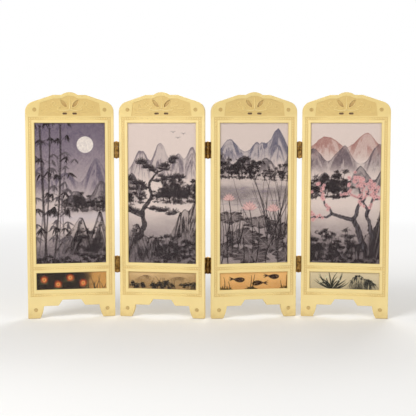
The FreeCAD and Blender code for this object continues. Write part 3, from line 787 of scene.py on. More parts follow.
def lumps(x, z, size, seed):
    """Smooth noise from 0 to 1 whose lumps are about size across."""
    table = np.random.default_rng(seed).random((NOISE_TABLE, NOISE_TABLE))
    column, row = np.floor(x / size).astype(int), np.floor(z / size).astype(int)
    across, up = fade(0, 1, x / size - column), fade(0, 1, z / size - row)
    left, right = column % NOISE_TABLE, (column + 1) % NOISE_TABLE
    low, high = [
        table[level % NOISE_TABLE, left] * (1 - across) + table[level % NOISE_TABLE, right] * across
        for level in (row, row + 1)
    ]
    return low * (1 - up) + high * up


def mottle(x, z, size, seed, layers=4):
    """Noise with finer and finer lumps, from 0 to 1."""
    shares = [0.5**layer for layer in range(layers)]
    parts = [share * lumps(x, z, size * share, seed + i) for i, share in enumerate(shares)]
    return sum(parts) / sum(shares)


sample = mottle(np.arange(0.0, 90.0), np.zeros(90), 8, 1)
print(f"along a line of 90 mm the noise runs from {sample.min():.2f} to {sample.max():.2f}")

# %% [markdown]
# ## Card and brush
#
# A card is a fine grid of points, two or more to the millimetre. Every layer of ink is an amount from 0 to
# 1 at each point, and covers what lies under it by that amount. A stroke is a line with a width at each of
# its points, and its amount falls off at the edge as wet ink does. Strokes could be thin meshes that lie on
# the card, but only ink on one grid can mix with what lies under it.

# %% Card and brush
SOFT_EDGE = 0.3
# keeps a pull that has no length from a division by zero
TINY = 1e-9
# widths along a stroke: one that swells and ends in a point, one that thins out, and a short dab
LEAF = np.sin(np.pi * np.linspace(0, 1, 9) ** 0.7)
TAPER = np.linspace(1, 0.25, 9)
DAB = np.array((1.35, 0.3))


class Card:
    """A grid of points that takes ink layer by layer, in millimetres from the card's lower left corner."""

    def __init__(self, width, height, step, paper):
        columns, rows = round(width / step) + 1, round(height / step) + 1
        self.x, self.z = np.meshgrid(np.linspace(0, width, columns), np.linspace(0, height, rows))
        self.step = step
        # a real paper's tooth would be lost between the points, so it is drawn coarser
        self.tooth = 0.8 + 0.4 * mottle(self.x, self.z, 1.6, 90, layers=2)
        self.colour = np.empty((rows, columns, 3))
        self.colour[:] = hex_code(paper)

    def lay(self, ink, amount, window=np.s_[:, :]):
        """Lets an ink cover what is there, by an amount from 0 to 1 that the paper's tooth makes uneven."""
        part = self.colour[window]
        part += (hex_code(ink) - part) * np.clip(amount * self.tooth[window], 0, 1)[..., None]


def stroke(card, points, widths, ink, strength=0.9):
    """One pull of the brush along points, with a width at each."""
    points = np.asarray(points, float)
    widths = np.broadcast_to(widths, len(points))
    reach = np.max(widths) / 2 + SOFT_EDGE
    left, low = np.maximum(points.min(0) - reach, 0) / card.step
    right, high = np.maximum(points.max(0) + reach, 0) / card.step
    window = np.s_[int(low) : int(high) + 2, int(left) : int(right) + 2]
    x, z = card.x[window], card.z[window]
    cover = np.zeros(x.shape)
    for start, end, width, next_width in zip(points, points[1:], widths, widths[1:]):
        run = end - start
        along = np.clip(((x - start[0]) * run[0] + (z - start[1]) * run[1]) / (run @ run + TINY), 0, 1)
        away = np.hypot(x - start[0] - along * run[0], z - start[1] - along * run[1])
        half = (width + (next_width - width) * along) / 2
        cover = np.maximum(cover, fade(half + SOFT_EDGE, half - SOFT_EDGE, away))
    card.lay(ink, strength * cover, window)


def aim(origin, angle, length):
    """The point at a length from origin, at an angle in degrees from level."""
    turn = np.radians(angle)
    return (origin[0] + length * np.cos(turn), origin[1] + length * np.sin(turn))


print("a brush with an edge", SOFT_EDGE, "mm soft")

# %% [markdown]
# ## Hills, washes and mist
#
# A hill is a ridge line made of a few bell shapes and some noise. Ink gathers along the ridge and in
# wrinkles that run down the slope, and fades to mist at the foot. An outline could be drawn instead, but
# with a formula the depth below the ridge is known at every point, and the ink follows it.

# %% Hills, washes and mist


def hill(card, foot, peaks, ink, strength, seed, rough=5, haze=16, grit=0.7):
    """A wrinkled ridge of bell shaped peaks, with mist at its foot. Gives the ridge's heights."""
    rise = sum(height * np.exp(-(((card.x - x) / spread) ** 2)) for x, height, spread in peaks)
    broken = mottle(card.x, 0 * card.x, 15, seed) + 0.4 * mottle(card.x, 0 * card.x, 4, seed + 5) - 0.7
    ridge = foot + rise + rough * broken * fade(0, 12, rise)
    depth = ridge - card.z
    lean = np.tanh(np.gradient(ridge, card.step, axis=1))
    wrinkles = mottle(card.x + depth * lean * 0.7, depth * 0.45, 5, seed + 7)
    body = fade(0, 0.7, depth) * fade(foot - haze, foot + 0.5 * haze, card.z) * fade(1, 9, rise)
    tone = (1 - grit) * 0.8 + grit * fade(0.36, 0.6, wrinkles) + 0.5 * fade(2.4, 0.2, depth)
    card.lay(ink, strength * body * np.clip(tone, 0, 1))
    return ridge[0]


def wash(card, low, high, ink, strength, seed, size=30):
    """A wet wash that deepens from one height to another, up or down, with a cloudy edge."""
    drift = size * 0.6 * (mottle(card.x, card.z * 2.2, size, seed) - 0.5)
    card.lay(ink, strength * fade(low, high, card.z + drift))


def mist(card, height, spread, ink, strength, seed):
    """A bank of mist that veils what was painted behind it."""
    drift = 1.6 * spread * (mottle(card.x, card.z * 2.5, 24, seed) - 0.5)
    card.lay(ink, strength * np.exp(-(((card.z + drift - height) / spread) ** 2)))


print("a hill, a wash and a bank of mist")

# %% [markdown]
# ## Leaves, rocks and groves
#
# Leaves are many short dabs about a middle, which is quicker than drawing each one and closer to how a
# brush does it. A rock is a steep small hill with moss on it, and a grove is a row of thin trunks with
# clumps of leaves.

# %% Leaves, rocks and groves


def foliage(card, rng, centre, spread, count, size, ink, strength=0.75):
    """A clump of leaves dabbed with the tip of the brush, thicker towards its middle."""
    for _ in range(count):
        place = np.array(centre) + rng.normal(0, 0.45, 2) * spread
        tip = aim(place, rng.uniform(-35, 215), size * rng.uniform(0.6, 1.3))
        wide = size * rng.uniform(0.35, 0.8) * DAB
        stroke(card, [place, tip], wide, ink, strength * rng.uniform(0.5, 1))


def undergrowth(card, rng, left, right, low, high, ink):
    """A low band of bushes."""
    for x in np.arange(left, right, 3.0):
        foliage(card, rng, (x, rng.uniform(low, high)), (3, 2), 11, 2.6, ink, 0.75)


def rock(card, rng, foot, peaks, ink, seed):
    """A boulder: steep wrinkled faces, a dark broken outline and moss on its top."""
    ridge = hill(card, foot, peaks, ink, 0.9, seed, rough=9, haze=10, grit=0.8)
    for x, height, spread in peaks:
        for place in rng.normal(x, 0.6 * spread, 16):
            column = int(np.clip(place / card.step, 0, len(ridge) - 1))
            top = ridge[column] - rng.uniform(0, 0.35) * height
            foliage(card, rng, (place, top), (1.6, 0.9), 4, 1.2, ink, 0.85)


def grove(card, rng, foot, count, width, height, ink):
    """Broad leaved trees of uneven height: thin forked trunks, clumps of dabbed leaves, bushes below."""
    for x in np.linspace(foot[0], foot[0] + width, count) + rng.normal(0, 2.5, count):
        tall = height * rng.uniform(0.55, 1.25)
        base = foot[1] + rng.normal(0, 1.2)
        trunk = bow((x, base), (x + rng.normal(0, 3), base + tall), rng.uniform(-2, 2))
        stroke(card, trunk, 1.3 * TAPER, ink, 0.8)
        tone = rng.uniform(0.35, 0.8)
        for _ in range(9):
            clump = (x + rng.normal(0, 0.24) * tall, base + tall * rng.uniform(0.3, 1.1))
            stroke(card, bow((x, base + 0.25 * tall), clump, 1), 0.5, ink, 0.6)
            spread = (0.16 * tall, 0.09 * tall)
            foliage(card, rng, clump, spread, 20, 0.09 * tall, ink, tone * rng.uniform(0.6, 1.2))
        bush = (x + rng.normal(0, 2), base + 0.08 * tall)
        foliage(card, rng, bush, (0.3 * tall, 0.07 * tall), 24, 0.08 * tall, ink, 0.65)


print("leaves, undergrowth, a rock and a grove")

# %% [markdown]
# ## Bamboo and pine
#
# Bamboo is straight strokes with a gap at each joint. Old wood bends through a few points and gets knots
# from uneven widths. A plant could also be one outline that is filled with ink. Pulled stroke by stroke it
# keeps the brush's uneven edge, and no two plants come out alike.

# %% Bamboo and pine


def bamboo(card, rng, foot, top, width, ink, joints=8):
    """A stalk with its joints, and sprays of hanging leaves."""
    line = bow(foot, top, rng.uniform(-3, 3), joints + 1)
    for start, end in zip(line, line[1:]):
        gap = (end - start) * 0.03
        stroke(card, [start + gap, end - gap], width, ink, 0.62)
        stroke(card, [end - [width * 0.7, 0], end + [width * 0.7, 0]], 0.7, ink, 0.9)
    for joint in line[2:]:
        for side in (-1, 1):
            if rng.random() < 0.75:
                twig = aim(joint, 90 - side * rng.uniform(35, 65), rng.uniform(6, 15))
                stroke(card, bow(joint, twig, side * 0.8), 0.5, ink, 0.8)
                for angle in rng.uniform(-150, -30, 5):
                    leaf = bow(twig, aim(twig, angle, rng.uniform(6, 12)), rng.uniform(-0.8, 0.8))
                    stroke(card, leaf, 1.9 * LEAF, ink, rng.uniform(0.6, 0.95))


def limb(card, rng, points, widths, ink, bark):
    """A gnarled limb: a smooth line through points with knots on its sides and strokes of bark."""
    along = np.linspace(0, len(points) - 1, 8 * len(points))
    line = np.stack([np.interp(along, range(len(points)), axis) for axis in np.transpose(points)], 1)
    for _ in range(3):
        line[1:-1] = (line[:-2] + 2 * line[1:-1] + line[2:]) / 4
    width = np.interp(along, range(len(points)), widths)
    crooked = line + rng.normal(0, 0.09, line.shape) * width[:, None]
    stroke(card, crooked, width * rng.uniform(0.8, 1.15, len(line)), ink, 0.85)
    for place, wide in zip(line, width):
        side = rng.uniform(-0.4, 0.4) * wide
        stroke(card, bow(place + [side, -1.2], place + [side, 1.2], 0.3), 0.12 * wide + 0.15, bark, 0.5)


def pine(card, rng, trunk, widths, boughs, ink, moss):
    """A leaning pine: a barky trunk, level boughs and fans of needles in cloud shaped tiers."""
    for start, end in boughs:
        stroke(card, bow(start, end, rng.uniform(-2, 2)), 2.0 * TAPER, ink, 0.85)
        for share in np.linspace(0.2, 1.1, 9):
            middle = np.array(start) + (np.array(end) - start) * share + rng.normal(0, (1.0, 1.8))
            foliage(card, rng, middle + [0, 1.5], (4.5, 1.8), 12, 2.4, moss, 0.5)
            for angle in np.linspace(8, 172, 15):
                tip = aim(middle, angle + rng.normal(0, 5), rng.uniform(4.2, 6.2))
                stroke(card, [middle, tip], 0.45, ink, 0.85)
    limb(card, rng, trunk, widths, ink, moss)


print("bamboo, a gnarled limb and a pine")

# %% [markdown]
# ## Plum
#
# An old plum forks again and again, and only its twigs bear blossoms. Every fork could be placed by hand,
# but the rule is the same for all of them: a branch calls itself for the branches that leave it, shorter
# and thinner each time.

# %% Plum


def plum(card, rng, start, angle, length, width, ink, blossom, order=0):
    """An old plum branch that forks, crooked at each fork, with blossoms along its twigs."""
    points = [np.array(start, float)]
    for bend in rng.uniform(-30, 30, 3):
        points.append(np.array(aim(points[-1], angle + bend, length / 3)))
    limb(card, rng, points, width * np.array([1, 0.85, 0.78, 0.66]), ink, "77707a")
    if order >= 2:
        for share in rng.uniform(0.1, 1.1, 4):
            heart = points[0] + (points[-1] - points[0]) * share + rng.normal(0, 1.4, 2)
            first = rng.uniform(0, 72)
            for turn in np.arange(first, first + 360, 72):
                stroke(card, [aim(heart, turn, 1.0), aim(heart, turn, 1.5)], 1.6, blossom, 0.85)
            stroke(card, [heart, heart + 0.1], 0.9, "6b2f34", 0.8)
    if order < 4:
        for side in (-1, 1):
            fork = angle + side * rng.uniform(14, 46)
            shorter = length * rng.uniform(0.55, 0.8)
            plum(card, rng, points[-1], fork, shorter, width * 0.6, ink, blossom, order + 1)


print("a plum that forks")

# %% [markdown]
# ## Water plants and birds
#
# A lotus leaf is too wide for one pull of the brush. It could be filled with many strokes, but its rim and
# veins follow from a point's distance and direction from the heart. Flowers, reeds and birds are made of
# strokes that swell or thin out.

# %% Water plants and birds


def lotus_leaf(card, centre, wide, high, ink, strength):
    """A round leaf seen at a slant: dark at its ragged rim, paler inside, with veins and a pale heart."""
    x, z = (card.x - centre[0]) / wide, (card.z - centre[1]) / high
    around = np.hypot(x, z)
    turn = np.arctan2(z, x)
    rim = 1 + 0.12 * np.sin(5 * turn + centre[0]) + 0.06 * np.sin(11 * turn)
    veins = 0.6 * fade(0.6, 1.0, np.cos(11 * turn)) * fade(0.1, 0.3, around)
    cloudy = 0.75 + 0.5 * mottle(card.x, card.z, 7, int(centre[0]) + 3)
    wet = 0.5 + 0.5 * fade(0.3, 1.0, around)
    cover = fade(rim, rim - 0.12, around) * fade(0.02, 0.14, around)
    card.lay(ink, strength * cover * wet * cloudy * (1 - veins))


def lotus_flower(card, centre, size, ink, rim):
    """An open flower: pointed petals in two rows."""
    for reach, angles in ((1.0, np.linspace(15, 165, 7)), (0.8, np.linspace(40, 140, 4))):
        for angle in angles:
            tip = aim(centre, angle, size * reach)
            stroke(card, bow(centre, tip, 0), size * 0.42 * LEAF, rim, 0.5)
            stroke(card, bow(centre, tip, 0), size * 0.34 * LEAF, ink, 0.9)


def reeds(card, rng, xs, foot, heights, ink):
    """Reed blades that lean and nod, on uneven feet."""
    for x, height in zip(xs, heights):
        base = foot + rng.uniform(-0.15, 0.15) * height
        tip = (x + rng.normal(0, 0.22) * height, base + height)
        blade = bow((x, base), tip, rng.uniform(-0.1, 0.1) * height)
        stroke(card, blade, 1.1 * TAPER, ink, rng.uniform(0.5, 0.9))


def birds(card, spots, size, ink):
    """A few far birds, two wing strokes each."""
    for x, z in spots:
        for side in (-1, 1):
            wing = bow((x, z), (x + side * size, z + size * 0.45), side * size * 0.2)
            stroke(card, wing, 0.7 * TAPER, ink, 0.8)


print("lotus, reeds and birds")

# %% [markdown]
# ## Bamboo by moonlight
#
# The tall pictures share a paper and their inks, as a set would. Each builds up from the far hills to what
# stands close, so that nearer strokes cover farther ones. A picture has its own random numbers with a fixed
# start, so it comes out the same each time. Places are in millimetres from the card's lower left corner.
#
# The first panel's picture is a night. A moon could be left out of the wash, as a painter would, but here it
# is easier to lay a pale disc over it.

# %% Bamboo by moonlight
PAPER = "dccac4"
INK = "251c1f"
GREY = "584e53"


def bamboo_by_moonlight(card):
    """Bamboo by a rock, with a grove and hills under a mauve night sky."""
    rng = np.random.default_rng(11)
    wash(card, 40, 180, "64576a", 0.9, 3)
    card.lay("efe4dc", 0.9 * fade(10.5, 9.8, np.hypot(card.x - 64, card.z - 150)))
    hill(card, 100, [(10, 24, 13), (40, 16, 12), (78, 32, 13)], "5f5466", 0.85, 21)
    hill(card, 72, [(52, 22, 12), (84, 34, 13)], GREY, 0.9, 23)
    grove(card, rng, (38, 68), 10, 52, 20, INK)
    mist(card, 60, 7, "c9bcc2", 0.8, 15)
    wash(card, 58, 0, "4a4049", 0.8, 5)
    rock(card, rng, 16, [(58, 42, 12), (82, 52, 10), (40, 18, 10)], INK, 31)
    grove(card, rng, (54, 10), 4, 38, 26, INK)
    for foot, top, width in ((4, 13, 1.6), (30, 40, 1.5), (38, 30, 1.4)):
        bamboo(card, rng, (foot, -2), (top, rng.uniform(120, 150)), width, GREY)
    for foot, top, width in ((16, 9, 2.8), (24, 34, 2.3), (12, 21, 1.9)):
        bamboo(card, rng, (foot, -2), (top, rng.uniform(146, 178)), width, INK)
    undergrowth(card, rng, 2, 92, 1, 12, INK)


print("bamboo by moonlight, on", PAPER, "paper")

# %% [markdown]
# ## Pine over mist
#
# The second panel's picture is a pine on a rock above a gorge. Its boughs could come from chance, but a
# leaning pine needs balance, so trunk and boughs are listed, and chance only bends them a little
# and spreads the needles.

# %% Pine over mist


def pine_over_mist(card):
    """A leaning pine on a rock above a misty gorge."""
    rng = np.random.default_rng(12)
    hill(card, 116, [(20, 26, 12), (44, 34, 10), (66, 22, 9), (84, 30, 9)], "6c6069", 0.85, 41, rough=9)
    hill(card, 86, [(8, 30, 11), (58, 26, 13), (88, 20, 10)], GREY, 0.95, 43, rough=9, grit=0.5)
    grove(card, rng, (40, 78), 12, 52, 24, INK)
    grove(card, rng, (0, 76), 5, 18, 18, INK)
    mist(card, 70, 7, PAPER, 0.65, 16)
    wash(card, 78, 8, "544a51", 0.75, 6)
    hill(card, 36, [(72, 30, 11), (92, 48, 11)], INK, 0.9, 45, rough=10)
    rock(card, rng, 8, [(12, 42, 12), (34, 26, 12), (58, 18, 12)], INK, 47)
    trunk = [(15, 34), (24, 50), (20, 68), (33, 84), (29, 102), (41, 118)]
    lower = [((21, 60), (0, 70)), ((24, 72), (60, 64)), ((31, 86), (70, 88)), ((30, 96), (4, 106))]
    upper = [((34, 106), (68, 110)), ((40, 114), (18, 128)), ((40, 116), (60, 130))]
    grove(card, rng, (42, 12), 6, 50, 28, INK)
    pine(card, rng, trunk, [7.5, 6, 5.2, 4.2, 3.2, 2], lower + upper, INK, GREY)
    birds(card, [(66, 158), (73, 163), (60, 165)], 3, GREY)
    undergrowth(card, rng, 34, 92, 1, 20, INK)


print("a pine over mist")

# %% [markdown]
# ## Lotus pond
#
# The third panel's picture is a lake with lotus in front. Still water is mostly bare paper. A wash alone
# would look like fog, so short level strokes show where its surface is.

# %% Lotus pond
MAUVE = "8a7b8a"


def lotus_pond(card):
    """Lotus and reeds at the near side of a lake, with trees and hills across it."""
    rng = np.random.default_rng(13)
    hill(card, 136, [(16, 22, 13), (50, 18, 12), (76, 34, 12)], "5d596c", 0.9, 51, rough=8, grit=0.6)
    hill(card, 118, [(4, 24, 11), (32, 20, 11), (60, 16, 12), (92, 20, 9)], GREY, 0.9, 53)
    grove(card, rng, (0, 108), 9, 48, 24, INK)
    grove(card, rng, (62, 105), 6, 30, 17, INK)
    mist(card, 102, 4, PAPER, 0.7, 17)
    mist(card, 90, 10, GREY, 0.55, 27)
    for x, z in zip(rng.uniform(2, 84, 44), rng.uniform(66, 102, 44)):
        stroke(card, bow((x, z), (x + rng.uniform(6, 18), z), 0.5), 0.8 * LEAF, MAUVE, 0.7)
    wash(card, 96, 20, "544a52", 0.5, 7)
    reeds(card, rng, rng.uniform(60, 92, 34), 30, rng.uniform(40, 100, 34), INK)
    reeds(card, rng, rng.uniform(0, 30, 20), 26, rng.uniform(24, 62, 20), INK)
    far_leaves = [(16, 60, 18, 8), (52, 54, 20, 8), (78, 44, 18, 9), (32, 36, 23, 11)]
    near_leaves = [(66, 26, 22, 10), (8, 20, 18, 10), (88, 12, 18, 9), (42, 12, 24, 11)]
    for x, z, wide, high in far_leaves + near_leaves:
        stroke(card, bow((x, z), (x + rng.uniform(-6, 6), -4), rng.uniform(-3, 3)), 1.4, INK, 0.8)
        lotus_leaf(card, (x, z), wide, high, INK, 0.8)
    for x, z, size in ((40, 70, 11), (14, 82, 8.5), (70, 68, 9.5)):
        stroke(card, bow((x, z), (x + 4, 16), 2), 1.1, INK, 0.8)
        lotus_flower(card, (x, z), size, "e3b9b4", "7a4b50")


print("a lotus pond")

# %% [markdown]
# ## Plum and far hills
#
# The fourth panel's picture is an old plum between rocks. Its colour could be in the blossoms alone, but a
# rosy far ridge takes it up, and so ties the tree to its ground.

# %% Plum and far hills
ROSE = "a3746d"


def plum_and_far_hills(card):
    """An old plum in blossom between rocks, before rosy hills."""
    rng = np.random.default_rng(14)
    hill(card, 142, [(22, 18, 18), (70, 22, 16)], ROSE, 0.95, 61, grit=0.5)
    hill(card, 124, [(6, 20, 12), (42, 24, 14), (86, 28, 13)], "63545b", 0.95, 63, rough=8, grit=0.5)
    hill(card, 98, [(20, 18, 12), (64, 24, 13), (94, 30, 10)], GREY, 0.95, 65, rough=8, grit=0.5)
    grove(card, rng, (2, 84), 10, 46, 24, INK)
    mist(card, 75, 7, PAPER, 0.65, 18)
    wash(card, 82, 6, "52474d", 0.75, 8)
    rock(card, rng, 10, [(74, 30, 10), (92, 62, 10), (54, 16, 9)], INK, 67)
    rock(card, rng, 2, [(14, 26, 12), (34, 14, 11)], INK, 69)
    grove(card, rng, (4, 12), 5, 44, 32, INK)
    plum(card, rng, (70, 20), 118, 40, 8, INK, "dba4a4")
    plum(card, rng, (80, 34), 84, 30, 5.5, INK, "dba4a4", 1)
    undergrowth(card, rng, 2, 92, 1, 12, INK)


print("a plum before far hills")

# %% [markdown]
# ## Strips with flowers and a river bank
#
# The strips below the landscapes are small and bright, each on a ground of its own. They could be smaller
# landscapes, but at two centimetres high those would only be grey. So each has a few things drawn large,
# with the same brushes in stronger inks.

# %% Strips with flowers and a river bank


def chrysanthemums(card):
    """Russet flowers on a dark ground that gives way to ochre."""
    rng = np.random.default_rng(21)
    card.lay("241d1b", 0.95 * fade(84, 62, card.x + 12 * mottle(card.x, card.z, 8, 4)))
    for x, z in ((12, 15), (29, 9), (44, 17), (60, 10)):
        foliage(card, rng, (x, z - 3), (6, 3.5), 26, 2.8, "4a5638", 0.85)
        for reach, petals, ink in ((6.2, 13, "b8452a"), (4.6, 11, "d0643a"), (2.8, 8, "e7a85e")):
            for angle in np.arange(petals) * 360 / petals + rng.uniform(0, 30):
                tip = aim((x, z), angle, reach * rng.uniform(0.85, 1.1))
                stroke(card, bow((x, z), tip, 0.6), 1.3 * LEAF, ink, 0.95)
        stroke(card, [(x, z), (x + 0.1, z)], 1.5, "5a2416", 0.9)
    reeds(card, rng, rng.uniform(66, 90, 12), 0, rng.uniform(9, 22, 12), "2a2320")


def river_bank(card):
    """Low banks with bushes and reeds on buff."""
    rng = np.random.default_rng(22)
    wash(card, 26, 6, "85643c", 0.62, 9)
    hill(card, 13, [(24, 7, 12), (66, 6, 16)], "5f4830", 0.85, 71, rough=3, haze=6)
    hill(card, 4, [(14, 6, 14), (50, 9, 12), (86, 8, 12)], "241d19", 0.95, 73, rough=4, haze=5)
    for x in rng.uniform(4, 88, 22):
        foliage(card, rng, (x, rng.uniform(4, 10)), (3.4, 2.4), 12, 2.0, "241d19", 0.85)
    reeds(card, rng, rng.uniform(30, 62, 12), 3, rng.uniform(8, 18, 12), "241d19")


print("chrysanthemums and a river bank")

# %% [markdown]
# ## Strips with fish and an orchid
#
# A fish is one thick stroke with three thin ones for its tail, and an orchid is a fan of long leaves. Drawn
# with scales and veins they could be finer, but none of that would show at this size.

# %% Strips with fish and an orchid


def fish_and_weed(card):
    """Three fish and water weed on orange."""
    rng = np.random.default_rng(23)
    wash(card, 24, 2, "bd8046", 0.4, 10)
    for x, z, facing in ((26, 15, 1), (52, 9, -1), (70, 18, 1)):
        nose, tail = (x + 8 * facing, z), (x - 7 * facing, z + 1)
        stroke(card, bow(nose, tail, 0.8), 6.4 * LEAF, "2f1d12", 0.92)
        for angle in (-30, 0, 30):
            fin = aim(tail, 90 + facing * (90 - angle), 5)
            stroke(card, bow(tail, fin, 0), 1.8 * TAPER, "2f1d12", 0.85)
        stroke(card, [aim(nose, 0, -3 * facing), aim(nose, 0, -2.8 * facing)], 0.7, "f1c27a", 0.9)
    for x in (6, 12, 40, 44, 84, 88):
        tip = (x + rng.uniform(-4, 4), rng.uniform(12, 22))
        stroke(card, bow((x, -2), tip, rng.uniform(-3, 3)), 1.8 * TAPER, "3f3014", 0.85)
        foliage(card, rng, (x, 3), (5, 3), 14, 2.4, "3f3014", 0.8)


def orchid_and_stone(card):
    """An orchid's long leaves beside a stone, on a sandy ground."""
    rng = np.random.default_rng(24)
    wash(card, 26, 0, "9a8c70", 0.4, 12)
    rock(card, rng, 2, [(62, 17, 10), (78, 11, 9)], "23221f", 75)
    for angle in rng.uniform(20, 160, 20):
        tip = aim((30, 2), angle, rng.uniform(14, 26))
        stroke(card, bow((30, 2), tip, rng.uniform(-3, 3)), 1.6 * LEAF, "2b2c25", 0.9)
    for x, z in ((24, 17), (38, 14), (16, 11)):
        for angle in (30, 90, 150, 210, 330):
            stroke(card, bow((x, z), aim((x, z), angle, 2.8), 0.3), 1.1 * LEAF, "d8d2b4", 0.85)


print("fish with weed, and an orchid with a stone")

# %% [markdown]
# ## Shape of a card
#
# The construction model has a plain card behind each clear sheet. It is replaced by one of the same size
# whose front is a fine grid, and each point of the grid carries its ink. The back and the edges need no
# detail, so each of them is a single face. Cutting the plain card's own faces finer would leave it with
# detail all round. The new card is a hair thinner than its space, so that no two faces fall together.

# %% Shape of a card
HAIR = 0.02

space_low, space_high = upright_box("main_picture_1")
CARD_FRONT = space_low[1] + HAIR
CARD_BACK = space_high[1] - HAIR


def card_mesh(name, card, low):
    """A closed card with a fine front that carries the painting, for an upright panel at the origin."""
    rows, columns = card.x.shape
    left, right = -SHEET_WIDTH / 2, SHEET_WIDTH / 2
    bottom, top = low, low + card.z[-1, 0]
    front = np.stack([card.x.ravel() + left, np.full(card.x.size, CARD_FRONT), card.z.ravel() + low], 1)
    corners = ((left, bottom), (right, bottom), (right, top), (left, top))
    back = [(x, CARD_BACK, z) for x, z in corners]
    at = np.arange(rows * columns).reshape(rows, columns)
    grid = np.stack([at[:-1, :-1], at[:-1, 1:], at[1:, 1:], at[1:, :-1]], -1).reshape(-1, 4).tolist()
    a, b, c, d = range(at.size, at.size + 4)
    edges = [[a, b, *at[0, ::-1]], [b, c, *at[::-1, -1]], [c, d, *at[-1]], [d, a, *at[:, 0]]]
    mesh = bpy.data.meshes.new(name)
    faces = grid + [[int(i) for i in edge] for edge in edges] + [[a, d, c, b]]
    mesh.from_pydata(np.vstack([front, back]) * MM, [], faces)
    inks = np.ones((at.size + 4, 4), np.float32)
    inks[: at.size, :3] = linear(np.clip(card.colour.reshape(-1, 3), 0, 1))
    mesh.color_attributes.new("painting", "FLOAT_COLOR", "POINT").data.foreach_set("color", inks.ravel())
    mesh.materials.append(picture_print)
    return mesh


print(f"a card is {SHEET_WIDTH:.1f} mm wide and {CARD_BACK - CARD_FRONT:.2f} mm thick")

# %% [markdown]
# ## Cards behind the sheets
#
# Every panel has a landscape and a strip. All eight cards could have the same spacing of points. The strips
# are small, so theirs is finer at little cost.

# %% Cards behind the sheets
MAIN_STEP = 0.5
STRIP_STEP = 0.4


def add_picture(node, panel, paint, step, paper):
    """Paints a card and puts it in the place of the plain one."""
    low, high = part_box(node)
    card = Card(SHEET_WIDTH, (high.z - low.z) / MM, step, paper)
    paint(card)
    mesh = card_mesh(f"painted_{node}", card, low.z / MM)
    mesh.transform(places[panel])
    piece = put_in_scene(mesh.name, mesh)
    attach(piece, f"panel_{panel}")
    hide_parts(node)
    print(piece.name, "has", len(mesh.polygons), "faces")


landscapes = (bamboo_by_moonlight, pine_over_mist, lotus_pond, plum_and_far_hills)
strips = (
    (chrysanthemums, "cf9a58"),
    (river_bank, "dbb988"),
    (fish_and_weed, "f0bc78"),
    (orchid_and_stone, "ddcba8"),
)
for panel, landscape, (strip, ground) in zip(PANELS, landscapes, strips):
    add_picture(f"main_picture_{panel}", panel, landscape, MAIN_STEP, PAPER)
    add_picture(f"strip_picture_{panel}", panel, strip, STRIP_STEP, ground)

# %% [markdown]
# ## Floor and room
#
# The screen stands on a pale floor that turns to plain white away from it, so no horizon shows. A brighter
# room would make the background white too, but it would bleach the screen. So the floor and the room look
# at the kind of ray: what is seen directly, mirrored or through a clear sheet is white, and the light itself
# stays soft.

# %% Floor and room
AMBIENT = 0.4
# lengths in metres
FLOOR_RADIUS = 6.0
FLOOR_DROP = 0.2 * MM
SHADED_REACH = 0.3
WHITE_REACH = 1.3


def background_rays(tree):
    """1 for a ray that sees the background directly, mirrored or through a clear thing, and 0 for others."""
    path = add(tree, "ShaderNodeLightPath").node.outputs
    seen = path["Is Camera Ray"]
    for ray in ("Is Glossy Ray", "Is Transmission Ray"):
        seen = add(tree, "ShaderNodeMath", {0: seen, 1: path[ray]}, operation="MAXIMUM")
    return seen


def floor_paint():
    """White card that lamps shade near the screen and that is plain white farther off."""
    material, tree, place = new_material("white_floor")
    far = add(tree, "ShaderNodeVectorMath", {0: place}, out="Value", operation="LENGTH")
    far = add(tree, "ShaderNodeMapRange", {"Value": far, "From Min": SHADED_REACH, "From Max": WHITE_REACH})
    plain_share = add(tree, "ShaderNodeMath", {0: far, 1: background_rays(tree)}, operation="MULTIPLY")
    lit = add(tree, "ShaderNodeBsdfPrincipled", {"Base Color": shade("f4f3f1"), "Roughness": 0.9})
    plain = add(tree, "ShaderNodeEmission", {"Color": (1, 1, 1, 1), "Strength": 1.0})
    mixed = add(tree, "ShaderNodeMixShader", {0: plain_share, 1: lit, 2: plain})
    add(tree, "ShaderNodeOutputMaterial", {"Surface": mixed})
    return material


def room_light(world):
    """White where the room is seen, and a softer light on what it shines on."""
    world.use_nodes = True
    tree = world.node_tree
    tree.nodes.clear()
    strength = {"Value": background_rays(tree), "To Min": AMBIENT, "To Max": 1.0}
    strength = add(tree, "ShaderNodeMapRange", strength)
    white = add(tree, "ShaderNodeBackground", {"Color": (1, 1, 1, 1), "Strength": strength})
    add(tree, "ShaderNodeOutputWorld", {"Surface": white})


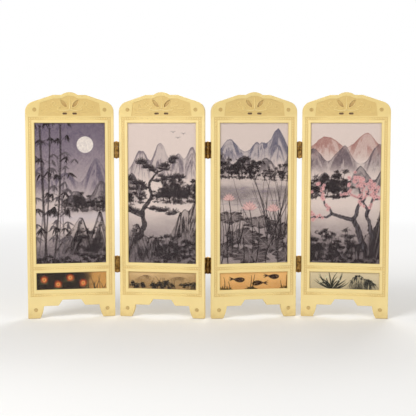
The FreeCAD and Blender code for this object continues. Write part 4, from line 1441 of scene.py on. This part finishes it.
scene = bpy.context.scene
disc = bmesh.new()
bmesh.ops.create_circle(disc, cap_ends=True, segments=96, radius=FLOOR_RADIUS)
floor_mesh = bpy.data.meshes.new("floor")
disc.to_mesh(floor_mesh)
disc.free()
floor_mesh.transform(Matrix.Translation((0, 0, -FLOOR_DROP)))
floor_mesh.materials.append(floor_paint())
floor = put_in_scene("floor", floor_mesh)
scene.world = bpy.data.worlds.new("studio")
room_light(scene.world)
print("a floor", 2 * FLOOR_RADIUS, "m across, in a white room")

# %% [markdown]
# ## Lamps
#
# A large lamp from the upper left gives the mouldings their shadow side. A weaker one from the right and
# the light of the room keep the shadows open, and one from behind picks out the top edges. One lamp alone
# would do for the picture, but the beads and scrolls would be lost on the shadow side. The view transform
# is Standard, so that a colour comes out about as it is written.

# %% Lamps
# in metres
AIM_HEIGHT = 0.137

target = Vector((0, 0, AIM_HEIGHT))


def aim_at_screen(holder, place):
    """Puts a lamp or a camera at a place and turns it to the middle of the screen."""
    holder.location = place
    holder.rotation_euler = (target - Vector(place)).to_track_quat("-Z", "Y").to_euler()


def add_lamp(name, place, size, power):
    """A square lamp that faces the screen."""
    lamp = bpy.data.lights.new(name, "AREA")
    lamp.size = size
    lamp.energy = power
    aim_at_screen(put_in_scene(name, lamp), place)


add_lamp("key", (-0.7, -0.9, 0.95), 0.6, 11)
add_lamp("fill", (0.95, -0.8, 0.5), 0.8, 3)
add_lamp("back", (0.3, 0.9, 1.0), 0.7, 6)
scene.view_settings.view_transform = "Standard"
print("three lamps that face the screen", AIM_HEIGHT, "m above the table")

# %% [markdown]
# ## Camera and finish
#
# A long lens from a little above the screen's middle keeps the panels' edges nearly parallel. A wide one
# from close by would show the zigzag better, but it would make the outer panels lean.

# %% Camera and finish
CAMERA_RISE = math.radians(5)
CAMERA_AWAY = 1.22
LENS_LENGTH = 85

lens = bpy.data.cameras.new("camera")
lens.lens = LENS_LENGTH
scene.camera = put_in_scene("camera", lens)
view_from = Vector((0, -math.cos(CAMERA_RISE), math.sin(CAMERA_RISE)))
aim_at_screen(scene.camera, target + CAMERA_AWAY * view_from)
